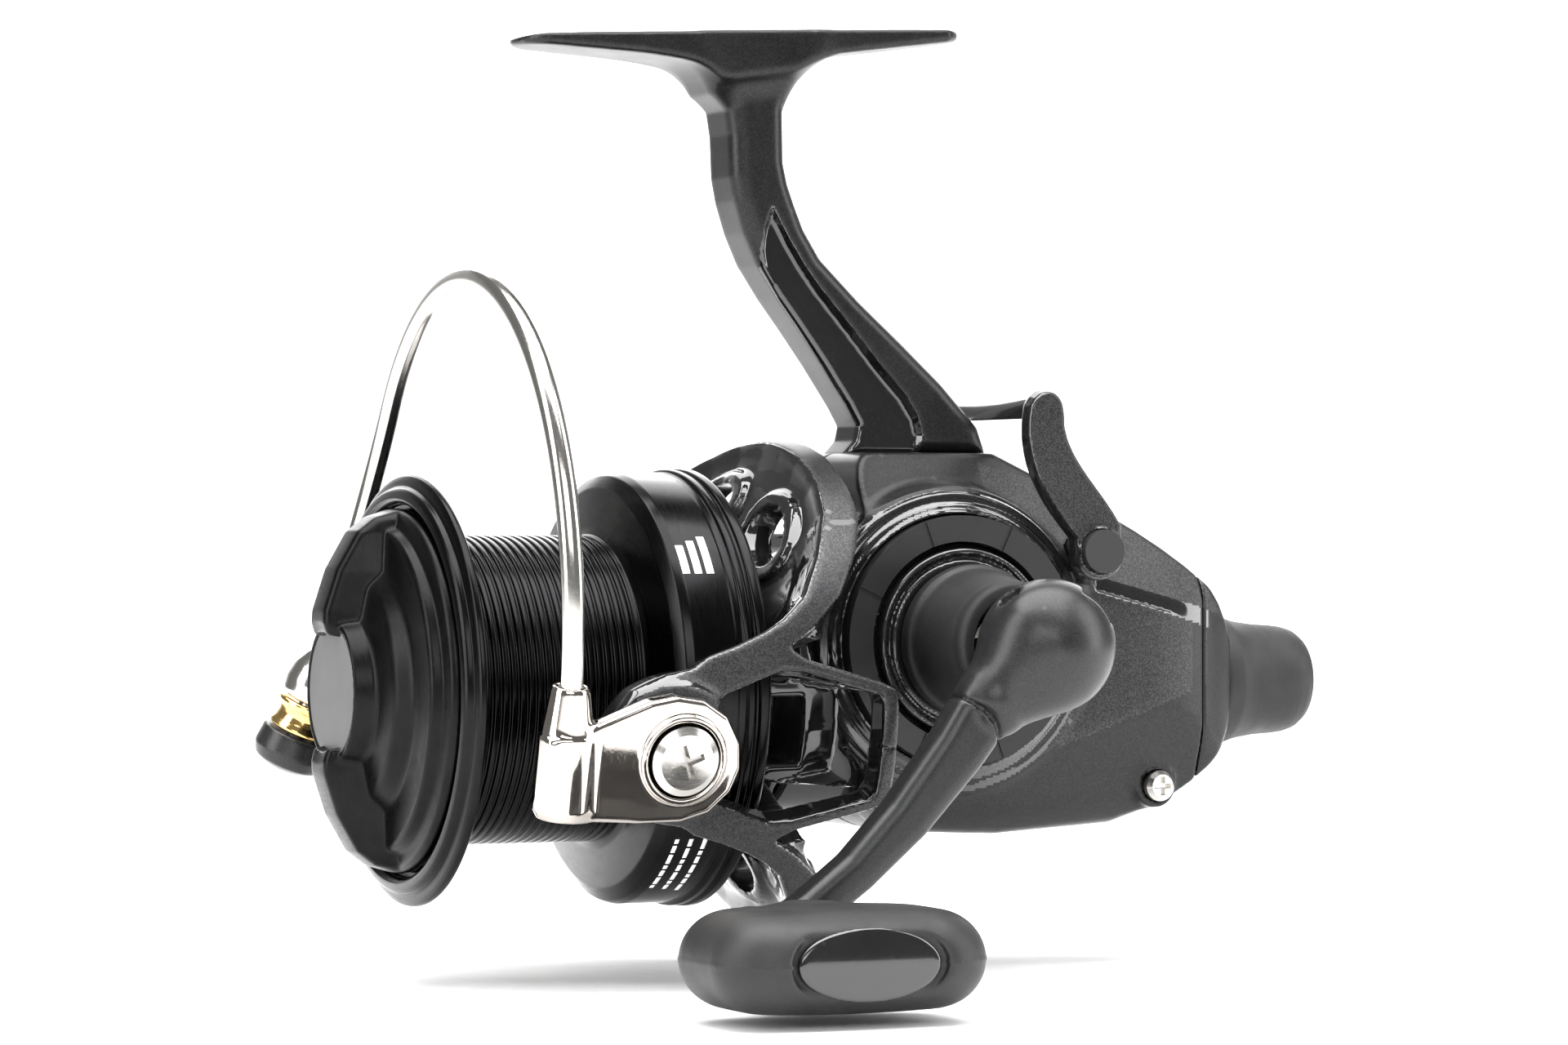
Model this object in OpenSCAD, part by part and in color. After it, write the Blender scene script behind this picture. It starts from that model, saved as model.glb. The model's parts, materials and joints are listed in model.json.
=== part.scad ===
// Spinning reel with a rear free-spool lever, as an assembly of its working pieces.
// X points to the handle side, Y to the rear and Z up. The origin is the centre of the
// top face of the foot. Most round pieces are drawn as profiles of [radius, distance]:
// the distance is counted forward from the foot on the spool axis, or along X on the
// handle axis. The rotor, its bail and its line roller are drawn with their arms along
// X and then turned by rotor_phase.

/* [Foot and stem] */
// Length of the foot that slides into a reel seat
foot_length = 61.6; // [58:0.2:64]
// Width of the foot at its middle
foot_width = 13; // [12:0.5:14]
// Thickness of the foot where it meets the stem
foot_thickness = 4.2; // [3.8:0.1:5]
// Angle between the foot and the spool axis
foot_tilt = 2.5; // [2:0.1:3]
// Thickness of the stem across the reel
stem_width = 10; // [8:0.5:11]

/* [Housing] */
// Depth of the spool axis below the foot
axis_drop = 84; // [84:0.5:85]
// Half width of the gear housing
housing_half = 17; // [17:0.1:17.2]
// Wall thickness of the housing
wall = 2; // [1.6:0.1:2.2]

/* [Spool] */
// Radius of the spool lip
lip_r = 27; // [26.4:0.1:27.2]
// Radius of the arbor that the line is wound on
arbor_r = 19.4; // [19:0.1:20]
// Radius of the widest ring of the skirt
skirt_r = 27.9; // [27.5:0.1:28]
// Number of line grooves around the arbor
groove_count = 19; // [12:1:21]
// Forward travel of the spool
stroke = 20; // [18:0.5:20]

/* [Gears] */
// Teeth of the large drive gear
drive_teeth = 46; // [46:1:46]
// Teeth of the rotor pinion
pinion_teeth = 10; // [10:1:10]
// Teeth of the small oscillation pinion on the handle axle
osc_pinion_teeth = 22; // [22:1:22]
// Teeth of the oscillation gear
osc_gear_teeth = 34; // [34:1:34]

/* [Rotor and bail] */
// Resting angle of the rotor about the spool axis
rotor_phase = 11.6; // [0:0.2:20]
// Distance of the bail pivots in front of the foot centre
pivot_front = 23; // [22.5:0.1:23.5]
// Height of the top of the bail wire above the spool axis
bail_height = 52; // [50:0.5:52]
// Radius of the bail wire
wire_r = 1.5; // [1.2:0.1:1.6]

/* [Handle] */
// Distance from the handle axis to the knob axis
crank_length = 52.8; // [50:0.2:53]
// Angle of the crank in the side view, from the rear upwards
crank_angle = 222.2; // [221:0.1:224]
// Length of the knob
knob_length = 34; // [28:0.5:36]
// Height of the knob
knob_height = 12.6; // [12:0.1:13]

/* [Hidden] */
$fn = 96;

// Running clearance of a shaft in its bore, and the gap between moving neighbours
fit = 0.05;
gap = 0.3;

// Heads of the side cover's screws
screw_head_r = 2;

// Spool axis and handle axis
axis_z = -axis_drop;
gear_y = 22.5;
gear_rise = 6;
gear_z = axis_z + gear_rise;

// Drive gear and pinion: the radial teeth of the gear meet the helix of the pinion
tooth_in = 14.5;
tooth_out = 18;
tooth_mid = (tooth_in + tooth_out) / 2;
mesh_reach = sqrt(pow(tooth_mid, 2) - pow(gear_rise, 2));
pinion_pitch_r = pow(tooth_mid, 2) / mesh_reach * pinion_teeth / drive_teeth;
mesh_angle = 180 + atan(gear_rise / mesh_reach);
pinion_twist = gear_rise / mesh_reach / pinion_pitch_r * 180 / PI;
pinion_front = mesh_reach - gear_y;
pinion_face = 5.2;

// Oscillation gear pair and the crank pin that drives the slider
osc_module = 0.75;
osc_pinion_r = osc_module * osc_pinion_teeth / 2;
osc_gear_r = osc_module * osc_gear_teeth / 2;
osc_drop = 9;
osc_dist = osc_pinion_r + osc_gear_r;
osc_angle = -asin(osc_drop / osc_dist);
osc_y = gear_y + osc_dist * cos(osc_angle);
osc_z = gear_z - osc_drop;
pin_offset = stroke / 2;
slider_y = osc_y + pin_offset;

// Shaft radii
shaft_r = 2;
axle_r = 3.2;
pinion_neck_r = 3.5;

// Free-spool lever pivot
lever_y = 42;
lever_z = -66.7;
lever_axle_r = 1.8;

// Bail and line roller, in the frame of the rotor with its arms along X
pivot_y = -pivot_front;
arm_out = 34.4;
holder_in = arm_out + gap;
wire_y = -37.5;
wire_x = 36;
wire_base = 9;
roller_centre = [-34, -46, -11.5];
roller_tilt = [-0.1, -0.3, -0.949];

// Crank
crank_x = 44;
knob_y = gear_y + crank_length * cos(crank_angle);
knob_z = gear_z + crank_length * sin(crank_angle);
knob_in = 55;
knob_out = 77.5;

// ---------- helpers ----------

// A piece turned about the spool axis, from a profile of [radius, distance forward]
module about_spool() {
  translate([0, 0, axis_z]) rotate([90, 0, 0]) rotate_extrude() children();
}

// A tube on the spool axis between two distances forward
module spool_tube(r_out, r_in, rear, front) {
  about_spool() translate([r_in, rear]) square([r_out - r_in, front - rear]);
}

// A piece turned about an axis along X, from a profile of [radius, x]
module about_x(y, z) {
  translate([0, y, z]) rotate([90, 0, 90]) rotate_extrude() children();
}

// A tube along X between two values of x
module x_tube(y, z, r_out, r_in, x0, x1) {
  about_x(y, z) translate([r_in, x0]) square([r_out - r_in, x1 - x0]);
}

// A side view, drawn as [y, z], made thick from x0 to x1
module side(x0, x1) {
  translate([x0, 0, 0]) rotate([90, 0, 90]) linear_extrude(x1 - x0) children();
}

// The frame of the rotor: spool axis at z = 0, arms along X, turned to its resting angle
module rotor_space() {
  translate([0, 0, axis_z]) rotate([0, rotor_phase, 0]) children();
}

// The frame of the line roller, with local Z along the roller's own axis
module roller_space() {
  lean = acos(roller_tilt[2]);
  turn = atan2(roller_tilt[1], roller_tilt[0]);
  translate(roller_centre) rotate([0, lean, turn]) children();
}

// Points of a cubic curve from a to d, pulled towards b and c
function curve(a, b, c, d, steps) = [for (i = [1:steps])
  let (t = i / steps, s = 1 - t)
  s * s * s * a + 3 * s * s * t * b + 3 * s * t * t * c + t * t * t * d];

// Unit vector, and the ring of points around one station of a swept wire
function unit(v) = v / norm(v);
function ring(p, t, ref, r, sides) =
  let (n = unit(cross(t, ref)), b = unit(cross(n, t)))
  [for (k = [0:sides - 1]) p + r * (cos(360 * k / sides) * n + sin(360 * k / sides) * b)];

// A round wire along a path; ref is a direction that the path never points in
module sweep(path, r, ref, sides = 10) {
  last = len(path) - 1;
  tangents = [for (i = [0:last]) unit(path[min(i + 1, last)] - path[max(i - 1, 0)])];
  points = [for (i = [0:last]) each ring(path[i], tangents[i], ref, r, sides)];
  walls = [for (i = [0:last - 1], k = [0:sides - 1])
    let (a = i * sides + k, b = i * sides + (k + 1) % sides)
    [a, b, b + sides, a + sides]];
  caps = [[for (k = [sides - 1:-1:0]) k], [for (k = [0:sides - 1]) last * sides + k]];
  polyhedron(points, concat(walls, caps), convexity = 8);
}

// Points of a helix about Z
function helix(r, height, turns, per_turn) = [for (i = [0:turns * per_turn])
  let (a = 360 * i / per_turn)
  [r * cos(a), r * sin(a), height * i / (turns * per_turn)]];

// Outline of a spur gear with play between its teeth; tooth 0 points along +x
module spur_outline(teeth, pitch_r, rise, depth) {
  pitch = 360 / teeth;
  polygon([for (i = [0:teeth - 1], p = [[-0.27, -depth], [-0.13, rise], [0.13, rise], [0.27, -depth]])
    (pitch_r + p[1]) * [cos((i + p[0]) * pitch), sin((i + p[0]) * pitch)]]);
}

// Ball bearing as one closed ring with shallow grooves between its races
module bearing_profile(r_in, r_out, low, high) {
  mid = (r_in + r_out) / 2;
  polygon([[r_in, low], [mid - 0.7, low], [mid - 0.5, low + 0.4], [mid + 0.5, low + 0.4],
    [mid + 0.7, low], [r_out, low], [r_out, high], [mid + 0.7, high], [mid + 0.5, high - 0.4],
    [mid - 0.5, high - 0.4], [mid - 0.7, high], [r_in, high]]);
}

// ---------- housing ----------

// Side outline of the gear housing
module housing_outline() {
  polygon(concat([[33, -54], [49, -61.4]],
    curve([49, -61.4], [58, -66], [66, -72], [68.5, -77.5], 6),
    curve([68.5, -91], [67, -97], [60, -101], [50, -102.6], 6),
    [[32, -103.2], [18, -102.5]],
    curve([18, -102.5], [13.5, -101.5], [11, -99], [10.8, -94], 4),
    [[10.8, -62]], curve([10.8, -62], [10.8, -57], [11.5, -54], [14, -54], 4)));
}

// Space inside the housing
module housing_hollow() {
  side(-housing_half + wall, housing_half - wall) offset(delta = -wall) housing_outline();
}

// Rounded bulge over the drive gear, in front of the housing proper
module gear_bulge(r, x0, x1) {
  intersection() {
    side(x0, x1) translate([gear_y, gear_z]) circle(r);
    translate([-20, 1.5, axis_z - 22]) cube([40, 12, 48]);
  }
}

// Everything that is hollow or bored in both halves of the housing
module housing_cuts() {
  housing_hollow();
  gear_bulge(18.6, 2.9, 8.6);
  spool_tube(15, 0, -14, -4);
  spool_tube(6.5, 0, -8, 1);
  spool_tube(5.2, 0, -8, 3.1);
  x_tube(gear_y, gear_z, 7, 0, -19, 19);
  x_tube(lever_y, lever_z, lever_axle_r + fit, 0, -30, 30);
}

// The whole housing before it is split; the nose carries the front bearing and the clutch
module housing_solid() {
  difference() {
    union() {
      side(-housing_half + 3, housing_half - 3) housing_outline();
      side(-housing_half, housing_half) offset(delta = -1.6) housing_outline();
      spool_tube(16.6, 0, -12, -1.5);
      spool_tube(10.5, 0, -1.6, 3);
      gear_bulge(19.9, 1, 10);
      x_tube(gear_y, gear_z, 16.8, 0, -18.5, 19);
      x_tube(gear_y, gear_z, 11.8, 0, 18, 21.6);
    }
    housing_cuts();
    x_tube(gear_y, gear_z, 4.6, 0, -30, 30);
    for (x = [19, -22]) x_tube(gear_y, gear_z, 6, 0, x, x + 3);
  }
}

rear_split = 60;

// A rib across the left half that carries the tail of the pinion
module pinion_rib() {
  difference() {
    translate([-15.2, 11, axis_z - 8]) cube([18, 3.5, 15]);
    spool_tube(4.6, 0, -15, -10);
    x_tube(gear_y, gear_z, 9.2, 0, -9.7, -5.7);
  }
}

// Foot: a long flat tongue with a scoop at each tip
module foot() {
  half = foot_length / 2;
  rotate([foot_tilt, 0, 0]) difference() {
    intersection() {
      translate([0, 0, -12]) linear_extrude(12) hull() {
        for (y = [-half + 4.2, half - 4.2]) translate([0, y]) circle(4.2);
        translate([-foot_width / 2, -12]) square([foot_width, 24]);
      }
      side(-10, 10) polygon(concat([[-half, 0], [-half, -1.5], [-14, -3.2]],
        curve([-14, -3.2], [-8, -4.2], [-6, -6], [-5, -9], 4),
        curve([8, -9], [8, -6], [9, -foot_thickness], [13, -3.4], 4),
        [[half, -1.7], [half, 0]]));
    }
    for (end = [-1, 1]) translate([0, end * (half + 2), 10.4]) rotate([end * 94, 0, 0])
      cylinder(h = 14, r = 11.2);
  }
}

// Stem between the foot and the housing, hollowed on each side
module stem() {
  difference() {
    side(-stem_width / 2, stem_width / 2) polygon(concat([[-5, -4]],
      curve([-5, -4], [-3, -10], [-4, -24], [-0.5, -30], 6),
      curve([-0.5, -30], [4, -38], [12, -47], [13, -54.5], 6),
      [[35, -54.5]], curve([35, -54.5], [28, -47], [18, -40], [11, -31], 6),
      curve([11, -31], [6, -24], [5, -14], [10, -4], 6)));
    for (s = [-1, 1]) side(s > 0 ? stem_width / 2 - 1.2 : -9, s > 0 ? 9 : 1.2 - stem_width / 2)
      polygon(concat([[2, -14]], curve([2, -14], [2, -30], [14, -42], [16, -53], 6),
        [[24, -53]], curve([24, -53], [18, -44], [6, -32], [2, -14], 6)));
  }
}

module body_frame() {
  color([0.13, 0.13, 0.135]) {
    foot();
    stem();
    intersection() {
      housing_solid();
      translate([-40, -10, -110]) cube([40, rear_split + 10, 60]);
    }
    pinion_rib();
    rod_posts();
    translate([-5, 13, -54.4]) cube([10, 20, 1.4]);
  }
}

module side_cover() {
  color([0.16, 0.16, 0.165]) difference() {
    union() {
      intersection() {
        housing_solid();
        translate([0, -10, -110]) cube([40, rear_split + 10, 60]);
      }
      cover_screw_places() translate([0, 0, -7]) cylinder(h = 5.4, r = 3.6);
    }
    pinion_rib_space();
    translate([-0.1, 12.9, -54.6]) cube([5.2, 23, 1.7]);
    cover_screw_places() {
      translate([0, 0, -4.6]) cylinder(h = 8, r = screw_head_r);
      translate([0, 0, -2.2]) cylinder(h = 5, r = 3.2);
    }
    x_tube(gear_y, gear_z, 16, 12.5, 18, 20);
  }
}

// Room in the right half for the rib of the left half
module pinion_rib_space() {
  translate([-1, 10.9, axis_z - 8.1]) cube([3.9, 3.7, 15.2]);
}

// The rear cover closes the tail and holds the free-spool brake
module rear_cover() {
  color([0.05, 0.05, 0.055]) difference() {
    intersection() {
      union() {
        side(-housing_half + 3, housing_half - 3) housing_outline();
        side(-housing_half, housing_half) offset(delta = -1.6) housing_outline();
      }
      translate([-40, rear_split, -110]) cube([80, 20, 60]);
    }
    housing_hollow();
    spool_tube(6.5, 0, -80, -50);
  }
}

// Places of the side cover's screws, with local Z pointing out of the cover
module cover_screw_places() {
  for (p = [[53.6, -97.2], [16, -98.5]])
    translate([housing_half, p[0], p[1]]) rotate([0, 90, 0]) children();
}

module cover_screws() {
  color("silver") cover_screw_places() difference() {
    union() {
      translate([0, 0, -4.6]) cylinder(h = 2.4, r = screw_head_r);
      translate([0, 0, -2.2]) cylinder(h = 0.7, r1 = screw_head_r, r2 = 1.5);
    }
    for (a = [0, 90]) rotate(a) translate([-1.2, -0.3, -2.3]) cube([2.4, 0.6, 2]);
  }
}

// Segmented trim ring around the handle boss
module panel_ring() {
  color([0.14, 0.14, 0.145]) difference() {
    x_tube(gear_y, gear_z, 15.9, 12.6, 18, 20.4);
    for (a = [20:45:335]) translate([20.2, gear_y, gear_z]) rotate([a, 0, 0])
      translate([0, -0.25, 12]) cube([1, 0.5, 5]);
  }
}

module axle_bearing_right() {
  color("silver") about_x(gear_y, gear_z) bearing_profile(axle_r + fit, 7, 15, 19);
}

module axle_bearing_left() {
  color("silver") about_x(gear_y, gear_z) bearing_profile(axle_r + fit, 7, -19, -15);
}

module pinion_bearing() {
  color("silver") about_spool() bearing_profile(pinion_neck_r + fit, 6.5, -3, 1);
}

module pinion_bush() {
  color("gold") spool_tube(4.6, 3 + fit, -14.3, -11.2);
}

// One-way clutch: outer ring with its rollers
module clutch_housing() {
  color("dimgray") difference() {
    spool_tube(10, 6.2, 3, 9.7);
    for (a = [30:60:330]) translate([8 * cos(a), -6.4, axis_z + 8 * sin(a)])
      rotate([90, 0, 0]) cylinder(h = 4, r = 0.9);
  }
}

// The slider's two guide rods: their places as [x, z], and the posts that hold them as
// [y, top of the upper post, bottom of the lower post]
rod_places = [[-0.6, -96.4], [-0.6, -72.4]];
rod_r = 1.2;
post_places = [[24, -55.6, -102], [56.6, -67.5, -100.3]];

module along_rods(y, h, r) {
  for (p = rod_places) translate([p[0], y, p[1]]) rotate([-90, 0, 0]) cylinder(h = h, r = r);
}

module rod_posts() {
  difference() {
    for (q = post_places) {
      along_rods(q[0], 3, 2.2);
      translate([-2.6, q[0], rod_places[1][1]]) cube([2.6, 3, q[1] - rod_places[1][1]]);
      translate([-2.6, q[0], q[2]]) cube([2.6, 3, rod_places[0][1] - q[2]]);
    }
    along_rods(0, 80, rod_r);
  }
}

module guide_rods() {
  color("silver") along_rods(24, 35.6, rod_r);
}

module far_side_cap() {
  color([0.08, 0.08, 0.085]) about_x(gear_y, gear_z)
    polygon([[4.8, -19], [5.9, -19], [5.9, -22.1], [8.8, -22.1], [8.8, -23.4], [7.5, -24.6],
      [6, -25.2], [0, -25.2], [0, -22.2], [4.8, -22.2]]);
}

// Fixed threaded sleeve that the rear knob turns on
module tension_sleeve() {
  color("dimgray") spool_tube(6.5, 4.6, -76, -61.8);
}

module tension_washer() {
  color("goldenrod") spool_tube(4.5, 2.4, -63.4, -62);
}

// ---------- handle ----------

// The blade at the axle's outer end is the tongue of the fold joint
module drive_axle() {
  color("silver") difference() {
    union() {
      x_tube(gear_y, gear_z, axle_r, 0, -21.5, 30);
      translate([0, gear_y, gear_z]) rotate([crank_angle, 0, 0]) {
        translate([29, -3.4, -2.5]) cube([crank_x - 29, 6.8, 5]);
        translate([crank_x, 0, 0]) cylinder(h = 5, r = 3.4, center = true);
      }
    }
    fold_pin(6);
  }
}

// Cylinder along the fold axis, which is square to the crank in the side view
module fold_pin(length) {
  translate([crank_x, gear_y, gear_z]) rotate([crank_angle, 0, 0])
    cylinder(h = length, r = 1.5, center = true);
}

// Large face gear with radial teeth on the side that meets the pinion
module drive_gear() {
  color("darkgray") {
    difference() {
      about_x(gear_y, gear_z) polygon([[axle_r, 4.6], [7, 4.6], [7, 5.4], [tooth_in - 1, 5.4],
        [tooth_in - 1, 4.55], [18.2, 4.55], [18.2, 7], [7, 7], [7, 9.5], [axle_r, 9.5]]);
      for (a = [0:60:300]) translate([3, gear_y, gear_z]) rotate([a, 0, 0])
        translate([0, 10, 0]) rotate([0, 90, 0]) cylinder(h = 6, r = 2);
    }
    for (i = [0:drive_teeth - 1]) translate([3.5, gear_y, gear_z])
      rotate([mesh_angle + 360 * i / drive_teeth, 0, 0])
      translate([0, tooth_in, -0.35]) cube([1.2, tooth_out - tooth_in, 0.7]);
  }
}

module oscillation_pinion() {
  color("darkgray") translate([-9.2, gear_y, gear_z]) rotate([90, 0, 90]) linear_extrude(3)
    difference() {
      rotate(osc_angle) spur_outline(osc_pinion_teeth, osc_pinion_r, 0.5, 0.8);
      circle(axle_r);
    }
}

module handle_collar() {
  color([0.07, 0.07, 0.07]) about_x(gear_y, gear_z)
    polygon([[axle_r, 22], [9.6, 22], [9.6, 24.5], [8.6, 27], [7.5, 35.6], [5.8, 35.6], [5.8, 28.8],
      [axle_r, 28.8]]);
}

module fold_screw() {
  color("silver") fold_pin(14.4);
}

// Crank: forked root around the blade of the axle, arm and end boss, in one piece
module crank_arm() {
  color([0.12, 0.12, 0.125]) difference() {
    union() {
      x_tube(gear_y, gear_z, 6.2, 0, crank_x - 7.5, crank_x + 7.5);
      x_tube(gear_y, gear_z, 7.6, 0, crank_x - 5, crank_x + 5);
      translate([crank_x - 3.2, gear_y, gear_z]) rotate([crank_angle, 0, 0]) rotate([90, 0, 90])
        linear_extrude(6.4) polygon([[3, 5.8], [14, 4], [crank_length, 3.6], [crank_length, -3.6],
          [14, -4], [3, -5.8]]);
      x_tube(knob_y, knob_z, 4.4, 0, crank_x - 3, crank_x + 3);
    }
    translate([crank_x, gear_y, gear_z]) rotate([crank_angle, 0, 0]) {
      cylinder(h = 20, r = 1.5 + fit, center = true);
      translate([0, 0, -2.8]) linear_extrude(5.6)
        polygon([[4.2, -12], [4.2, 2.4], [2.4, 4.2], [-12, 4.2], [-12, -12]]);
    }
    x_tube(knob_y, knob_z, shaft_r, 0, 38, 50);
  }
}

module knob_spindle() {
  color("silver") {
    x_tube(knob_y, knob_z, shaft_r, 0, 41.5, 74);
    x_tube(knob_y, knob_z, 3.2, 0, 73.2, 74.6);
  }
}

// Knob: an oval paddle on a short neck
module knob_grip() {
  color([0.1, 0.1, 0.1]) difference() {
    union() {
      x_tube(knob_y, knob_z, 5, 0, 47.4, knob_in + 1);
      intersection() {
        side(knob_in, knob_out) translate([knob_y, knob_z]) hull() {
          for (s = [-1, 1]) translate([s * (knob_length - knob_height) / 2, 0]) circle(knob_height / 2);
        }
        translate([0, 0, knob_z - 20]) linear_extrude(40) hull() {
          for (s = [-1, 1], x = [knob_in + 6.5, knob_out - 5])
            translate([x, knob_y + s * (knob_length / 2 - 5)]) circle(5);
          translate([knob_in, knob_y - 5]) square([1, 10]);
        }
      }
    }
    x_tube(knob_y, knob_z, shaft_r + fit, 0, 45, 73);
    x_tube(knob_y, knob_z, 3.6, 0, 72.8, 75);
    side(76.2, 78) knob_oval(0);
  }
}

// Oval recess in the outer face of the knob
module knob_oval(shrink) {
  translate([knob_y, knob_z]) hull()
    for (s = [-1, 1]) translate([s * 4.6, 0]) circle(4.4 - shrink);
}

module knob_inlay() {
  color([0.04, 0.04, 0.04]) side(76.2, 77.1) knob_oval(0.1);
}

// ---------- rotor and bail ----------

// Side view of one rotor arm, from the pivot back to the rear ring
module arm_outline() {
  polygon(concat([[8, -13]],
    curve([8, -13], [-6, -13], [-12, -9.5], [-20, -8], 5),
    [for (a = [-100:-20:-260]) [pivot_y + 8 * cos(a), 8 * sin(a)]],
    curve([-20, 8], [-12, 9.5], [-6, 13], [8, 13], 5)));
}

// Rotor: drum around the clutch, rear ring, two arms and the spokes between them
module rotor_frame() {
  color([0.1, 0.1, 0.105]) rotor_space() difference() {
    union() {
      translate([0, 0, -axis_z]) about_spool()
        polygon([[pinion_neck_r, 10.2], [pinion_neck_r, 13.4], [18, 13.4], [22.4, 12], [22.4, 7.4],
          [16.6, 5.4], [16.6, -0.9], [14.8, -0.9], [14.8, 6.6], [20.4, 8.6], [20.4, 10.2]]);
      translate([0, 0, -axis_z]) about_spool()
        polygon([[28.6, 1.5], [29.6, 2], [31, 0], [31, -7.5], [30, -8.5], [28.6, -8.5]]);
      for (s = [-1, 1]) {
        side(s > 0 ? 29.6 : -arm_out, s > 0 ? arm_out : -29.6) arm_outline();
        translate([s > 0 ? 15.5 : -30, -6.2, -7]) cube([14.5, 7.1, 14]);
      }
    }
    for (s = [-1, 1]) side(s > 0 ? 29 : -35, s > 0 ? 35 : -29)
      polygon([[-13, 3], [-6, 6], [4, 6], [6, 3], [6, -3], [4, -6], [-6, -6], [-13, -3]]);
    side(-35, -32.6) polygon([[-14.9, 4.9], [-14.9, -4.9], [-13.5, -4.9], [-13.5, 4.9]]);
    x_tube(pivot_y, 0, 1.6, 0, -36, 36);
  }
}

// Outline of the pinion; a gap between two teeth points along +x
module pinion_outline() {
  polygon([for (i = [0:pinion_teeth - 1], p = [[-0.27, 3.1], [-0.1, 4.2], [0.1, 4.2], [0.27, 3.1]])
    p[1] * [cos((i + 0.5 + p[0]) * 36), sin((i + 0.5 + p[0]) * 36)]]);
}

pinion_slices = 8;

// Pinion: stepped helical teeth, a bearing neck and the threaded nose that carries the rotor
module pinion() {
  slice = pinion_face / pinion_slices;
  color("gold") difference() {
    union() {
      spool_tube(pinion_neck_r, 0, pinion_front - pinion_face / 2 + pinion_face, 16.2);
      spool_tube(3, 0, -14.6, pinion_front + pinion_face / 2 + 0.1);
      for (i = [0:pinion_slices - 1]) let (low = (i / pinion_slices - 0.5) * pinion_face)
        translate([0, -pinion_front - low, axis_z]) rotate([90, 0, 0])
        rotate(-pinion_twist * (low + slice / 2)) linear_extrude(slice) pinion_outline();
    }
    spool_tube(shaft_r + fit, 0, -20, 20);
  }
}

module clutch_sleeve() {
  color("silver") spool_tube(5.9, pinion_neck_r, 3.2, 10.2);
}

module rotor_nut() {
  color("silver") difference() {
    translate([0, -13.4, axis_z]) rotate([90, 0, 0]) cylinder(h = 2.4, r = 7, $fn = 6);
    spool_tube(pinion_neck_r, 0, 12, 17);
  }
}

// Flush cover over the spring pocket of the far arm
module arm_cover() {
  color([0.08, 0.08, 0.085]) rotor_space() side(-arm_out, -33.2)
    polygon([[-13.6, 4.8], [-14.8, 4.8], [-14.8, -4.8], [-13.6, -4.8]]);
}

// Torsion spring that holds the bail open or shut
module bail_spring() {
  color("silver") rotor_space() translate([-30.6, pivot_y + 13.6, 0]) rotate([0, 90, 0])
    sweep(helix(2.2, 2.4, 3, 12), 0.35, [0, 0, 1], 8);
}

module bail_pivot_screws() {
  color("silver") rotor_space() for (s = [-1, 1]) mirror([s > 0 ? 0 : 1, 0, 0]) {
    x_tube(pivot_y, 0, 1.6, 0, 29.6, arm_out);
    x_tube(pivot_y, 0, 2.5, 0, arm_out, 38);
    difference() {
      about_x(pivot_y, 0) polygon([[0, 38], [4.3, 38], [4.3, 38.5], [3.4, 39.1], [0, 39.4]]);
      for (a = [20, 110]) translate([38.6, pivot_y, 0]) rotate([a, 0, 0])
        translate([0, -2.2, -0.4]) cube([2, 4.4, 0.8]);
    }
  }
}

// Nickelled holder of the near end of the bail wire
module bail_holder() {
  color("lightgray") rotor_space() difference() {
    union() {
      side(holder_in, 37.7) hull() {
        translate([pivot_y, 0]) circle(7.4);
        translate([wire_y, -1]) circle(3.4);
        translate([pivot_y - 4, -3.6]) circle(4);
      }
      side(holder_in, 37.7) hull() {
        translate([wire_y, -1]) circle(3.4);
        translate([wire_y - 2, 6]) square([4, 0.5]);
      }
      translate([wire_x, wire_y, -3]) cylinder(h = 12, r = 2.6);
    }
    x_tube(pivot_y, 0, 2.5 + fit, 0, 30, 40);
    translate([wire_x, wire_y, wire_base - 3]) cylinder(h = 8, r = wire_r);
  }
}

// Far arm of the bail, ending in the dark cap that holds the line roller
module roller_arm() {
  color([0.12, 0.12, 0.125]) rotor_space() difference() {
    union() {
      side(-37.3, -holder_in) hull() {
        translate([pivot_y, 0]) circle(6.6);
        translate([-44, -14.5]) circle(3.6);
      }
      roller_space() translate([0, 0, 2.3]) cylinder(h = 3.6, r1 = 4.6, r2 = 5);
      roller_space() translate([0, 0, 5.8]) cylinder(h = 1.2, r1 = 5, r2 = 3.6);
    }
    x_tube(pivot_y, 0, 2.5 + fit, 0, -40, -30);
    roller_space() {
      cylinder(h = 12, r = 1.5);
      translate([0, 0, -2.3]) cylinder(h = 4.6, r = 4.5);
      translate([0, 0, -9.4]) cylinder(h = 7.2, r1 = 1.8, r2 = 4.6);
    }
  }
}

// Bail wire with the cone that leads the line down to the roller
module bail_wire() {
  far_end = roller_centre - 6 * roller_tilt;
  arch = [for (a = [0:6:150])
    [wire_x * cos(a), wire_y, wire_base + (bail_height - wire_base) * sin(a)]];
  tail = curve(arch[len(arch) - 1], [-36.4, wire_y, 18], [-35.4, -41.5, 8], far_end, 9);
  color("lightgray") rotor_space() difference() {
    union() {
      sweep(concat([[wire_x, wire_y, wire_base - 3]], arch, tail), wire_r, [0, 1, 0]);
      roller_space() translate([0, 0, -9]) cylinder(h = 6.7, r1 = 1.6, r2 = 4.3);
    }
    roller_space() translate([0, 0, -5]) cylinder(h = 10, r = 1.5);
  }
}

module roller_screw() {
  color("silver") rotor_space() roller_space() translate([0, 0, -5]) cylinder(h = 11.5, r = 1.5);
}

module line_roller() {
  color("gold") rotor_space() roller_space() rotate_extrude()
    polygon([[3, -2], [4.2, -2], [4.2, -1.5], [3.6, -0.6], [3.6, 0.6], [4.2, 1.5], [4.2, 2], [3, 2]]);
}

module roller_bearing() {
  color("silver") rotor_space() roller_space() rotate_extrude()
    translate([1.5 + fit, -1.8]) square([3 - 1.5 - fit, 3.6]);
}

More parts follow.
